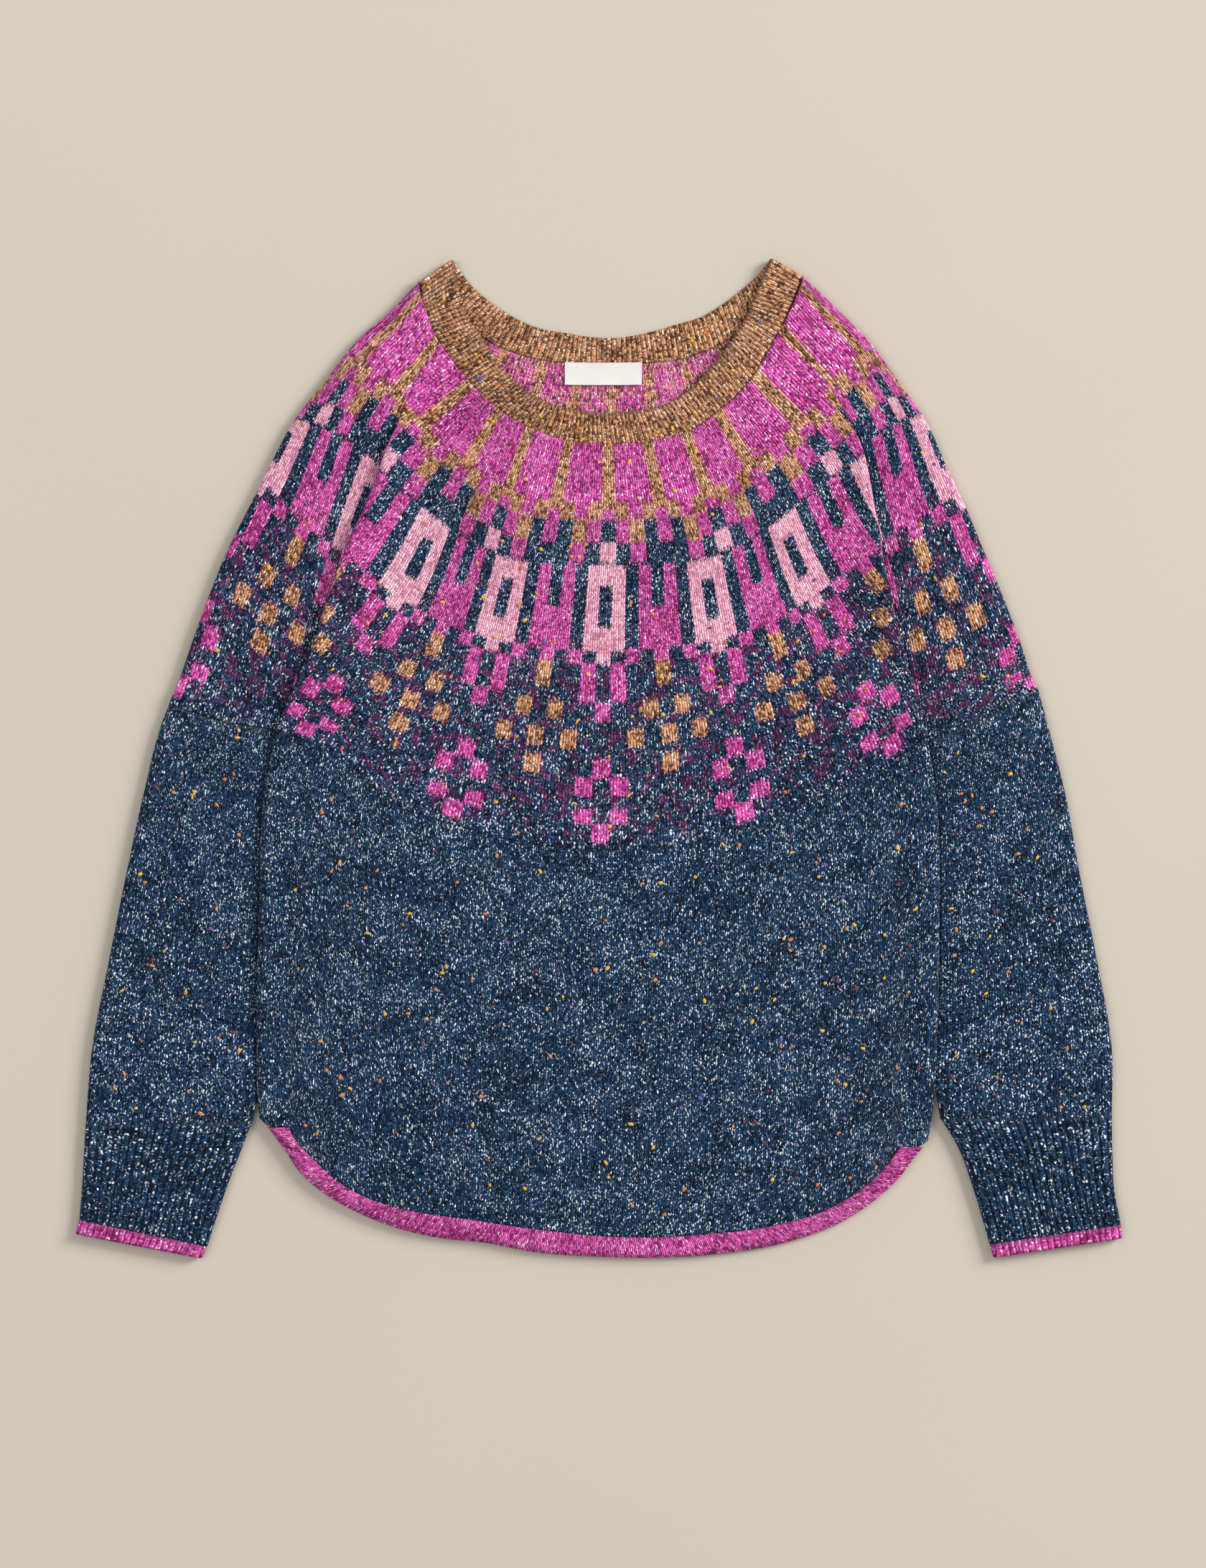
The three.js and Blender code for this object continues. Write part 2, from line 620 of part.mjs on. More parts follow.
// The band's upper and lower edges between two corners, walked together.
function neckArc(table, start, end) {
  const inner = table.slice(1, -1);
  const upperInner = inner.map(([x, y]) => new THREE.Vector3(x, y, 0));
  const lowerInner = inner.map(([, , x, y]) => new THREE.Vector3(x, y, 0));
  const upper = [start.upper, ...upperInner, end.upper];
  const lower = [start.lower, ...lowerInner, end.lower];
  const middle = upper.map((point, index) => point.clone().lerp(lower[index], 0.5));
  const curves = [upper, lower, middle].map((points) => new THREE.CatmullRomCurve3(points));
  curves[2].arcLengthDivisions = CURVE_DIVISIONS;
  return (share) => {
    const at = curves[2].getUtoTmapping(share);
    return { upper: curves[0].getPoint(at), lower: curves[1].getPoint(at) };
  };
}

// A section of the strip: three outer points and three inner points, upper edge to lower edge.
function neckSection({ upper, lower }, normal, middleHeight, outerRib, innerRib) {
  const wall = NECK_WALL / 2;
  const lift = new THREE.Vector3(0, 0, middleHeight);
  const outer = NECK_OUTER_SHARES.map((share) => {
    const rib = outerRib === null ? 0 : outerRib - (share === 0.5 ? 0 : NECK_EDGE_LOW);
    return upper.clone().lerp(lower, share).add(lift).addScaledVector(normal, wall + rib);
  });
  const inner = NECK_INNER_SHARES.map((share) => {
    const rib = innerRib * (share === 0.5 ? 1 : NECK_INNER_RIB_AT_EDGE);
    return upper.clone().lerp(lower, share).add(lift).addScaledVector(normal, -wall - rib);
  });
  return [...outer, ...inner];
}

function neckbandGeometry() {
  const left = neckCorner(NECK_FRONT[0], -1);
  const right = neckCorner(NECK_FRONT[NECK_FRONT.length - 1], 1);
  const frontArc = neckArc(NECK_FRONT, left, right);
  const backArc = neckArc(NECK_BACK, right, left);
  const up = new THREE.Vector3(0, 0, 1);
  const sections = [];
  const frontSteps = NECK_RIBS_FRONT * 2;
  for (let step = 0; step <= frontSteps; step += 1) {
    const rib = step % 2 === 1 ? NECK_RIB_DEPTH : 0;
    sections.push(neckSection(frontArc(step / frontSteps), up, NECK_FRONT_MIDDLE, rib, 0));
  }
  sections.push(...neckFold(right));
  const backSteps = NECK_RIBS_BACK * 2;
  for (let step = 0; step <= backSteps; step += 1) {
    const rib = step % 2 === 1 ? NECK_RIB_DEPTH : 0;
    const down = up.clone().negate();
    sections.push(neckSection(backArc(step / backSteps), down, NECK_BACK_MIDDLE, null, rib));
  }
  sections.push(...neckFold(left).reverse());
  return stripRingGeometry(sections);
}

// Sections round a fold, from the front down to the back, ends left to the two arcs.
function neckFold({ upper, lower, outward }) {
  const sections = [];
  for (let step = 1; step < NECK_FOLD_STEPS; step += 1) {
    const turn = (Math.PI * step) / NECK_FOLD_STEPS;
    const normal = new THREE.Vector3(0, 0, Math.cos(turn)).addScaledVector(outward, Math.sin(turn));
    const height = (NECK_FRONT_MIDDLE + NECK_BACK_MIDDLE) / 2 + NECK_FOLD_RADIUS * Math.cos(turn);
    const out = outward.clone().multiplyScalar(NECK_FOLD_RADIUS * Math.sin(turn));
    const edges = { upper: upper.clone().add(out), lower: lower.clone().add(out) };
    sections.push(neckSection(edges, normal, height, 0, 0));
  }
  return sections;
}

// A closed ring through the strip's sections.
function stripRingGeometry(sections) {
  const count = sections[0].length;
  const faces = [];
  sections.forEach((section, at) => {
    const next = (at + 1) % sections.length;
    for (let spot = 0; spot < count; spot += 1) {
      const after = (spot + 1) % count;
      const a = at * count + spot;
      const b = next * count + spot;
      faces.push([a, b, next * count + after], [a, next * count + after, at * count + after]);
    }
  });
  return facingOut(geometryFrom(sections.flat(), faces));
}

// Hem tips: a narrow knitted edge below the body, front over back.
const TIP_STEPS_ALONG = 34;
const TIP_SPREAD = 1.0018;
const TIP_DROP = 0.45;
const TIP_FRONT_PROFILE = [
  { across: 0, top: HEM_HEIGHT, low: 4.2 }, { across: 0.35, top: 7.6, low: 4.1 },
  { across: 0.7, top: 7.2, low: 3.9 }, { across: 0.93, top: 5.9, low: 3.9 },
  { across: 1, top: 4.6, low: 3.9 },
];
const TIP_BACK_PROFILE = [
  { across: 0, top: 3.0, low: 0 }, { across: 0.4, top: 3.3, low: 0 },
  { across: 0.72, top: 3.55, low: 0 }, { across: 0.94, top: 3.55, low: 1.3 },
  { across: 1, top: 3.55, low: 2.7 },
];

function hemTipGeometry(profile) {
  const upper = line(HEM_LINE.slice(2, -2).map(([x, y]) => [x * TIP_SPREAD, y - TIP_DROP]));
  const lower = line(HEM_TIP_EDGE);
  const gridOf = (key) => profile.map((row) => {
    const spots = [];
    for (let step = 0; step <= TIP_STEPS_ALONG; step += 1) {
      const point = upper(step / TIP_STEPS_ALONG).lerp(lower(step / TIP_STEPS_ALONG), row.across);
      spots.push(pointAtHeight(point, row[key]));
    }
    return spots;
  });
  return sheetGeometry(gridOf('top'), gridOf('low'));
}

// Label: a small blank woven strip sewn inside the back of the neck.
const LABEL_LEFT = -23.5;
const LABEL_RIGHT = 30;
const LABEL_THICKNESS = 1.0;
const LABEL_SAG = 0.8;
const LABEL_STEPS = 8;
const LABEL_ROWS = [
  { y: 275.5, lift: 1.1 }, { y: 271.5, lift: 0.3 }, { y: 267.75, lift: 0.4 }, { y: 263, lift: 0.3 },
  { y: 260, lift: 0.5 },
];

function labelGeometry() {
  const gridOf = (thickness) => LABEL_ROWS.map(({ y, lift }) => {
    const spots = [];
    for (let step = 0; step <= LABEL_STEPS; step += 1) {
      const share = step / LABEL_STEPS;
      const x = mix(LABEL_LEFT, LABEL_RIGHT, share);
      const sag = LABEL_SAG * (share - 0.5) ** 2;
      spots.push(new THREE.Vector3(x, y + sag, BACK_WALL + lift + thickness));
    }
    return spots;
  });
  return sheetGeometry(gridOf(LABEL_THICKNESS), gridOf(0));
}

const KNIT_ROUGHNESS = 0.92;
const NAVY = 0x35455e;
const PATTERN = 0x9c5d80;
const TAN = 0xa27a5c;
const PINK = 0xb44d91;
const WHITE = 0xe9e7e2;
const jumper = new THREE.Group();

function addPiece(name, geometry, color) {
  const material = new THREE.MeshStandardMaterial({ color, roughness: KNIT_ROUGHNESS, metalness: 0 });
  const mesh = new THREE.Mesh(geometry, material);
  mesh.name = name;
  jumper.add(mesh);
}

function addTube(name, edges, shape, color) {
  addPiece(name, tubeGeometry({ ...edges, ...shape }), color);
}

addPiece('yoke_back', yokeBackGeometry(), PATTERN);
addPiece('yoke_front', yokeFrontGeometry(), PATTERN);
addPiece('body_back', bodyBackGeometry(), NAVY);
addPiece('body_front', bodyFrontGeometry(), NAVY);

const sleeveShape = {
  rowSteps: SLEEVE_STEPS_DOWN,
  topSteps: SLEEVE_STEPS_ACROSS,
  ribDepth: 0,
  topHeight: SLEEVE_HEIGHT,
};
const leftEdges = sleeveEdges(SLEEVE_OUTER_LEFT, SIDE_LEFT, CUFF_START_LEFT, -SLEEVE_FROM_BODY);
const rightEdges = sleeveEdges(SLEEVE_OUTER_RIGHT, SIDE_RIGHT, CUFF_START_RIGHT, SLEEVE_FROM_BODY);
addTube('sleeve_left', leftEdges, { ...sleeveShape, bow: SLEEVE_SEAM_LEFT.bow }, NAVY);
addTube('sleeve_right', rightEdges, { ...sleeveShape, bow: SLEEVE_SEAM_RIGHT.bow }, NAVY);

const cuffShape = {
  rowSteps: CUFF_STEPS_DOWN,
  topSteps: CUFF_RIBS * 2,
  ribDepth: CUFF_RIB_DEPTH,
  topHeight: CUFF_HEIGHT,
  bow: 0,
};
addTube('cuff_left', edgesOf(CUFF_LEFT_ROWS), cuffShape, NAVY);
addTube('cuff_right', edgesOf(CUFF_RIGHT_ROWS), cuffShape, NAVY);

const cuffTipShape = { ...cuffShape, rowSteps: 1 };
addTube('cuff_tip_left', edgesOf(CUFF_TIP_LEFT_ROWS), cuffTipShape, PINK);
addTube('cuff_tip_right', edgesOf(CUFF_TIP_RIGHT_ROWS), cuffTipShape, PINK);

addPiece('hem_tip_back', hemTipGeometry(TIP_BACK_PROFILE), PINK);
addPiece('hem_tip_front', hemTipGeometry(TIP_FRONT_PROFILE), PINK);
addPiece('neckband', neckbandGeometry(), TAN);
addPiece('label', labelGeometry(), WHITE);

export default jumper;
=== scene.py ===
import math
from contextlib import contextmanager

import bmesh
import bpy
import numpy as np
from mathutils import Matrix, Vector


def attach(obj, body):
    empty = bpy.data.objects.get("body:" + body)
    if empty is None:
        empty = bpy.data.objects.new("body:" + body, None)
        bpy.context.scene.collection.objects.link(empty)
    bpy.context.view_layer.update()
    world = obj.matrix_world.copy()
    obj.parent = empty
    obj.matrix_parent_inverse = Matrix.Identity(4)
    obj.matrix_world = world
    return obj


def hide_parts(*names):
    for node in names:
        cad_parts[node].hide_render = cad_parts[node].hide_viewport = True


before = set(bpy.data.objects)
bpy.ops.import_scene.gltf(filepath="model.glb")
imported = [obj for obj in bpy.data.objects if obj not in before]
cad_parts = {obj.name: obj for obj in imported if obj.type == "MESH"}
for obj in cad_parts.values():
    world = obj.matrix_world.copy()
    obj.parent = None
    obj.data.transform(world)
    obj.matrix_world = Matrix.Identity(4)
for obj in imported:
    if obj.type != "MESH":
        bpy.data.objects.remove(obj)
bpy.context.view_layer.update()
MM = 0.001


# The surface and the light: the jumper lies on a plain pale board, seen straight from above.
# One large soft lamp stands to the upper right. A weak one and a pale sky fill the shadows.
VIEW_MIDDLE = (0.003, -0.01775)
VIEW_HEIGHT = 3.0
VIEW_LENS = 98.9
BOARD_COLOUR = (0.523, 0.481, 0.408, 1)
BOARD_DARKER = (0.507, 0.463, 0.392, 1)
SKY_COLOUR = (1.0, 0.985, 0.96, 1)
SKY_STRENGTH = 0.55


def add_object(name, data):
    """A new object in the scene."""
    new = bpy.data.objects.new(name, data)
    bpy.context.scene.collection.objects.link(new)
    return new


bpy.context.scene.view_settings.view_transform = "Standard"
camera = add_object("camera", bpy.data.cameras.new("camera"))
camera.data.lens = VIEW_LENS
camera.location = (*VIEW_MIDDLE, VIEW_HEIGHT)
bpy.context.scene.camera = camera


def add_lamp(name, place, size, power, colour):
    """A square soft lamp that faces the middle of the jumper."""
    lamp = add_object(name, bpy.data.lights.new(name, "AREA"))
    lamp.data.size = size
    lamp.data.energy = power
    lamp.data.color = colour
    lamp.location = place
    lamp.rotation_euler = (-Vector(place)).to_track_quat("-Z", "Y").to_euler()


add_lamp("window", place=(6.4, 3.1, 3.7), size=3.2, power=800, colour=(1.0, 0.975, 0.95))
add_lamp("fill", place=(-3.0, 0.6, 4.4), size=3.0, power=85, colour=(0.97, 0.98, 1.0))

sky = bpy.data.worlds.new("sky")
sky.use_nodes = True
sky.node_tree.nodes["Background"].inputs["Color"].default_value = SKY_COLOUR
sky.node_tree.nodes["Background"].inputs["Strength"].default_value = SKY_STRENGTH
bpy.context.scene.world = sky


@contextmanager
def editing(mesh):
    """A mesh opened for bmesh work, and written back after it."""
    bm = bmesh.new()
    bm.from_mesh(mesh)
    yield bm
    bm.to_mesh(mesh)
    bm.free()


def add_material(name, roughness):
    """A new material, its node tree and its shader."""
    material = bpy.data.materials.new(name)
    material.use_nodes = True
    shader = material.node_tree.nodes["Principled BSDF"]
    shader.inputs["Roughness"].default_value = roughness
    return material, material.node_tree, shader


def put(tree, source, target):
    """Feeds a node's socket with a link or a plain value."""
    if isinstance(source, bpy.types.NodeSocket):
        tree.links.new(source, target)
    elif source is not None:
        target.default_value = source


def mix_colours(tree, share, first, second):
    node = tree.nodes.new("ShaderNodeMix")
    node.data_type = "RGBA"
    put(tree, share, node.inputs["Factor"])
    put(tree, first, node.inputs["A"])
    put(tree, second, node.inputs["B"])
    return node.outputs["Result"]


def surface_texture(tree, kind, scale):
    """A texture of a fixed scale, laid by the piece's own place."""
    place = tree.nodes.new("ShaderNodeTexCoord")
    texture = tree.nodes.new(kind)
    texture.inputs["Scale"].default_value = scale
    tree.links.new(place.outputs["Object"], texture.inputs["Vector"])
    return texture


board_paint, tree, shader = add_material("board_paint", roughness=0.9)
shader.inputs["Specular IOR Level"].default_value = 0.2
mottle = surface_texture(tree, "ShaderNodeTexNoise", scale=3.0).outputs["Fac"]
tree.links.new(mix_colours(tree, mottle, BOARD_COLOUR, BOARD_DARKER), shader.inputs["Base Color"])

board_mesh = bpy.data.meshes.new("board")
with editing(board_mesh) as bm:
    bmesh.ops.create_grid(bm, x_segments=4, y_segments=4, size=4)
board_mesh.materials.append(board_paint)
board = add_object("board", board_mesh)


# Body: plain knit in flecked blue-navy wool, front and back one outline with a curved hem.
# Every stitch is a V of two legs, worked down from the yoke, 3 mm wide and 2.25 mm tall.
LEG_SLANT = 0.55
LEG_RIDGE = 0.28
LEVEL_OVER = 1.2
EDGE_ROUND = 6.5
BODY_WIDTH = 472
BODY_HEIGHT = 8.3
FOLD_HEIGHT = 10.6
# Shares of the way down at which the raised sides begin and end to sink.
SIDE_SINKS = (0.6, 0.95)
HEM_HEIGHT = 7.2
HEM_THINS_FROM = 0.9
FRONT_RIM = 4.3
FRONT_UNDER = 3.9
BACK_RIM = 3.1
BACK_INSIDE = 3.5
SIDE_RAISED = 34
SEAM_STEP = 0.15
SEAM_STEP_ENDS = 0.02
YOKE_SEAM = [
    (-224.5, 20), (-191.5, 6), (-170, -10), (-137, -34), (-97, -47), (-67, -55.5), (-27, -61.5),
    (8, -63), (43, -61.5), (83, -54), (120.5, -41.5), (150, -27.5), (185, -14), (208, 1), (229, 12),
]
SIDE_LEFT = [
    (-224.5, 20), (-228.5, 0), (-232.5, -22), (-236, -97), (-238, -172), (-238, -215),
    (-237.5, -236), (-236, -250),
]
SIDE_RIGHT = [
    (229, 12), (231.5, 0), (234.5, -22), (237, -122), (235.5, -197), (234, -228), (232, -248),
    (229, -266),
]
HEM_LINE = [
    (-236, -250), (-229, -255.5), (-216, -256.5), (-211, -265), (-196, -281), (-183, -293),
    (-170.5, -301), (-150, -309.5), (-126, -315.5), (-94, -320), (-47, -327), (8, -332.5),
    (38, -333), (73, -331), (123, -324.5), (159, -313.5), (181, -300.5), (197, -286.5),
    (210, -270), (219.5, -270.6), (229, -266),
]
BODY_WALES = 158
BODY_COURSES = 122
# Soft folds of the whole front: middle x, y, half length, half width, turn in degrees, height.
SOFT_FOLDS = [
    (-60, 150, 120, 22, 62, 0.7), (70, 140, 130, 24, 118, 0.7), (-130, -40, 110, 20, 68, 0.9),
    (140, -60, 120, 20, 108, 0.8), (-40, -180, 150, 34, 84, 0.7), (60, -220, 120, 30, 97, -0.6),
    (-150, -240, 80, 22, 40, 0.6), (150, -250, 80, 24, 140, 0.6), (-280, -60, 110, 16, 82, 0.7),
    (-300, -190, 90, 16, 84, -0.6), (280, -40, 100, 16, 97, 0.7), (300, -180, 100, 16, 95, -0.6),
    (0, 30, 90, 40, 8, -0.6), (-190, -120, 90, 9, 80, -0.5), (196, -140, 90, 9, 99, -0.5),
    (-110, 215, 60, 10, 48, 0.5), (128, 225, 60, 10, 130, 0.5), (30, -120, 160, 60, 92, 0.5),
]


def smooth_step(low, high, value):
    """0 at low, 1 at high, and smooth between them."""
    share = np.clip((value - low) / (high - low), 0, 1)
    return share * share * (3 - 2 * share)


def mix(start, end, share):
    return start + (end - start) * share


def through(stops, values, at):
    """Places on a smooth curve that passes through a table's values at its stops.

    A table with a third dimension has its own row of values for each place.
    """
    stops, values = np.asarray(stops, float), np.asarray(values, float)
    step = np.diff(stops)
    steps = step.reshape(-1, *[1] * (values.ndim - 1))
    slope = np.diff(values, axis=0) / steps
    share = steps[:-1] / (steps[:-1] + steps[1:])
    tangent = np.concatenate(
        [slope[:1], slope[:-1] * (1 - share) + slope[1:] * share, slope[-1:]])
    spot = np.clip(np.searchsorted(stops, at, side="right") - 1, 0, len(step) - 1)
    own = (np.arange(len(spot)),) if values.ndim == 3 else ()
    here, after = (spot, *own), (spot + 1, *own)
    wide = step[spot][:, None]
    near = ((at - stops[spot]) / step[spot])[:, None]
    far = 1 - near
    return (
        values[here] * far * far * (1 + 2 * near) + values[after] * near * near * (3 - 2 * near)
        + tangent[here] * wide * near * far * far - tangent[after] * wide * near * near * far
    )


def line(points):
    """A smooth line through a table of points, walked by the share of its length."""
    points = np.asarray(points, float)
    length = np.concatenate([[0], np.cumsum(np.hypot(*np.diff(points, axis=0).T))])
    fine = through(length, points, np.linspace(0, length[-1], 1200))
    walked = np.concatenate([[0], np.cumsum(np.hypot(*np.diff(fine, axis=0).T))])
    walked /= walked[-1]
    return lambda share: np.stack([np.interp(share, walked, fine[:, axis]) for axis in (0, 1)], 1)


def patch(top, bottom, left, right):
    """A patch between four lines: across from left to right, down from top to bottom."""
    ends = [edge(np.array([share])) for edge in (top, bottom) for share in (0.0, 1.0)]

    def place(across, down):
        x, y = across[:, None], down[:, None]
        return (
            top(across) * (1 - y) + bottom(across) * y + left(down) * (1 - x) + right(down) * x
            - ends[0] * (1 - x) * (1 - y) - ends[1] * x * (1 - y)
            - ends[2] * (1 - x) * y - ends[3] * x * y
        )

    return place


def soft_folds(x, y):
    """The height that the soft folds add at each place."""
    height = np.zeros_like(x)
    for middle_x, middle_y, length, width, turn, rise in SOFT_FOLDS:
        cos, sin = math.cos(math.radians(turn)), math.sin(math.radians(turn))
        along = (x - middle_x) * cos + (y - middle_y) * sin
        across = (y - middle_y) * cos - (x - middle_x) * sin
        height += rise * np.exp(-((along / length) ** 2) - (across / width) ** 2)
    return height


def rounded(distance, reach=EDGE_ROUND):
    """The share of its full height that a rounded edge has at a distance from the edge."""
    return np.sqrt(1 - (1 - np.clip(distance / reach, 0, 1)) ** 2)


def stitch_stops(start, end, parts):
    """Grid lines across a run of stitches: each stitch is cut into equal parts."""
    return np.linspace(start, end, round((end - start) * parts) + 1)


def read(data, key, count, kind=float):
    """One property of a mesh's parts, as an array."""
    values = np.zeros(count, kind)
    data.foreach_get(key, values)
    return values


def knit_grid(wales, courses, place, ridge=LEG_RIDGE, slant=LEG_SLANT, level_at=(), per_unit=None):
    """A grid cut at every leg of every stitch, and laid where place puts each of its corners.

    The stitches lie level at both ends and at the courses in level_at, and past the last of
    those. Where per_unit is given, it turns the units across into stitches at each course.
    """
    mesh = bpy.data.meshes.new("knit")
    with editing(mesh) as bm:
        bmesh.ops.create_grid(bm, x_segments=len(wales) - 1, y_segments=len(courses) - 1, size=0.5)
    spots = read(mesh.vertices, "co", len(mesh.vertices) * 3).reshape(-1, 3)
    column = np.rint((spots[:, 0] + 0.5) * (len(wales) - 1)).astype(int)
    row = np.rint((spots[:, 1] + 0.5) * (len(courses) - 1)).astype(int)
    wale, course = wales[column], courses[row]
    stitch = wale * per_unit(course) if per_unit else wale
    level_at = [courses[0], *(level_at or [courses[-1]])]
    fade = smooth_step(0, LEVEL_OVER, np.min([np.abs(course - stop) for stop in level_at], 0))
    fade *= course < level_at[-1]
    shift = slant * (np.abs(stitch % 1 - 0.5) * 2 - 0.5) * fade
    leg = (stitch * 2) % 1
    bulge = ridge * (1 - (2 * leg - 1) ** 2) * fade
    spots = place(wale, np.clip(course + shift, courses[0], courses[-1]), bulge)
    mesh.vertices.foreach_set("co", (spots * MM).ravel())
    for name, values in (("wale", wale), ("course", course)):
        mesh.attributes.new(name, "FLOAT", "POINT").data.foreach_set("value", values)
    return mesh


def close_sheet(mesh, height):
    """Gives a sheet its thickness: its edge is drawn to a height and a plain side closes it."""
    with editing(mesh) as bm:
        rim = [edge for edge in bm.edges if edge.is_boundary]
        drawn = bmesh.ops.extrude_edge_only(bm, edges=rim)["geom"]
        for vert in drawn:
            if isinstance(vert, bmesh.types.BMVert):
                vert.co.z = height * MM
        lower = [part for part in drawn
                 if isinstance(part, bmesh.types.BMEdge) and part.is_boundary]
        bmesh.ops.edgeloop_fill(bm, edges=lower)
        bmesh.ops.recalc_face_normals(bm, faces=bm.faces)


def joined(name, meshes):
    """One mesh that holds several, side by side."""
    bm = bmesh.new()
    for mesh in meshes:
        bm.from_mesh(mesh)
    whole = bpy.data.meshes.new(name)
    bm.to_mesh(whole)
    bm.free()
    return whole


def merged(mesh):
    """Joins the ends of a grid that has been bent into a ring, and faces it outwards."""
    with editing(mesh) as bm:
        bmesh.ops.remove_doubles(bm, verts=bm.verts, dist=1e-6)
        bmesh.ops.recalc_face_normals(bm, faces=bm.faces)
    return mesh


def knit_piece(name, mesh, materials, nodes_replaced, yarn_at=None, per_unit=None):
    """Finishes a knitted mesh as a piece: its stitch map, its yarns, its materials and its node."""
    count = len(mesh.vertices)
    corner = read(mesh.loops, "vertex_index", len(mesh.loops), int)
    totals = read(mesh.polygons, "loop_total", len(mesh.polygons), int)
    starts = np.concatenate([[0], np.cumsum(totals)[:-1]])
    stitch = [read(mesh.attributes[key].data, "value", count)[corner] for key in ("wale", "course")]
    wale, course = (np.add.reduceat(values, starts) / totals for values in stitch)
    if per_unit:
        stitch[0] *= np.repeat(per_unit(course), totals)
    stitch_map = mesh.uv_layers.new(name="stitches")
    stitch_map.data.foreach_set("uv", np.stack(stitch, 1).ravel())
    if yarn_at:
        yarns = np.repeat(yarn_at(wale, course), totals, axis=0)
        blend = [np.bincount(corner, share, count) for share in yarns.T]
        meeting = np.bincount(corner, minlength=count)[:, None]
        layer = mesh.color_attributes.new("yarn", "FLOAT_COLOR", "POINT")
        layer.data.foreach_set("color", (np.stack(blend, 1) / meeting).ravel())
    mesh.polygons.foreach_set("use_smooth", np.ones(len(mesh.polygons), bool))
    for material in materials:
        mesh.materials.append(material)
    piece = add_object(name, mesh)
    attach(piece, "root")
    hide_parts(*nodes_replaced)
    return piece


def add_group(name, inputs, outputs):
    """An empty shader node group with named inputs and outputs."""
    group = bpy.data.node_groups.new(name, "ShaderNodeTree")
    for socket, kind in inputs:
        group.interface.new_socket(socket, in_out="INPUT", socket_type=kind)
    for socket, kind in outputs:
        group.interface.new_socket(socket, in_out="OUTPUT", socket_type=kind)
    return group, group.nodes.new("NodeGroupInput"), group.nodes.new("NodeGroupOutput")


def math_node(tree, operation, first, second=None, third=None, clamp=False):
    node = tree.nodes.new("ShaderNodeMath")
    node.operation = operation
    node.use_clamp = clamp
    for index, value in enumerate((first, second, third)):
        put(tree, value, node.inputs[index])
    return node.outputs[0]


def ramp_between(tree, value, low, high):
    """0 below low, 1 above high, and smooth between them."""
    node = tree.nodes.new("ShaderNodeMapRange")
    node.interpolation_type = "SMOOTHSTEP"
    put(tree, value, node.inputs["Value"])
    node.inputs["From Min"].default_value = low
    node.inputs["From Max"].default_value = high
    return node.outputs["Result"]


def stitch_noise(tree, across, up, seed, scale, detail):
    """Noise on the stitch map. Across and up are each a socket and how finely it is packed."""
    place = tree.nodes.new("ShaderNodeCombineXYZ")
    for index, (socket, packed) in enumerate((across, up)):
        tree.links.new(math_node(tree, "MULTIPLY", socket, packed), place.inputs[index])
    put(tree, seed, place.inputs[2])
    noise = tree.nodes.new("ShaderNodeTexNoise")
    noise.inputs["Scale"].default_value = scale
    noise.inputs["Detail"].default_value = detail
    tree.links.new(place.outputs[0], noise.inputs["Vector"])
    return noise.outputs["Fac"]


# The group finds each leg of each stitch on the piece's own stitch map, and spins its fibres.
# A fleck or a spot is where its noise lies above a limit.
FLECK_FROM, FLECK_FULL = 0.65, 0.7
SPOT_FROM, SPOT_FULL = 0.5, 0.66
stitch_legs, _, legs_out = add_group(
    "stitch_legs", [],
    [(name, "NodeSocketFloat") for name in
     ("Tone", "Streak", "Fleck", "Patch", "Spot", "PaintedShade", "Rib", "Height")],
)
tree = stitch_legs
stitch_place = tree.nodes.new("ShaderNodeUVMap")
stitch_place.uv_map = "stitches"
apart = tree.nodes.new("ShaderNodeSeparateXYZ")
tree.links.new(stitch_place.outputs[0], apart.inputs[0])
wale_at, course_at = apart.outputs[0], apart.outputs[1]
leg_at = math_node(tree, "MULTIPLY", wale_at, 2.0)
numbers = tree.nodes.new("ShaderNodeCombineXYZ")
tree.links.new(math_node(tree, "FLOOR", leg_at), numbers.inputs[0])
tree.links.new(math_node(tree, "FLOOR", course_at), numbers.inputs[1])
chance = tree.nodes.new("ShaderNodeTexWhiteNoise")
chance.noise_dimensions = "2D"
tree.links.new(numbers.outputs[0], chance.inputs["Vector"])
tone = chance.outputs["Value"]
leg_seed = math_node(tree, "MULTIPLY", tone, 37.0)
patch_noise = stitch_noise(tree, (wale_at, 1.0), (course_at, 1.0), 3.0, scale=0.12, detail=3.0)
spot_noise = stitch_noise(tree, (wale_at, 1.0), (course_at, 0.75), 8.0, scale=0.55, detail=1.0)
streak = stitch_noise(tree, (wale_at, 2.6), (course_at, 1.0), leg_seed, scale=1.5, detail=2.0)
fleck_noise = stitch_noise(tree, (wale_at, 2.3), (course_at, 0.8), leg_seed, scale=1.3, detail=0)
cloud = math_node(tree, "SUBTRACT", patch_noise, 0.5)
clouded = math_node(tree, "MULTIPLY_ADD", cloud, 0.2, fleck_noise)
leg_across = math_node(tree, "SUBTRACT", math_node(tree, "FRACT", leg_at), 0.5)
round_leg = math_node(
    tree, "MULTIPLY_ADD", math_node(tree, "MULTIPLY", leg_across, leg_across), -4.0, 1.0)
half_turn = math_node(tree, "MULTIPLY", math_node(tree, "FRACT", course_at), math.pi)
leg_bow = math_node(tree, "MULTIPLY_ADD", math_node(tree, "SINE", half_turn), 0.5, 0.5)
leg_height = math_node(tree, "MULTIPLY", round_leg, leg_bow)
rib_turn = math_node(tree, "COSINE", math_node(tree, "MULTIPLY", wale_at, 2 * math.pi))
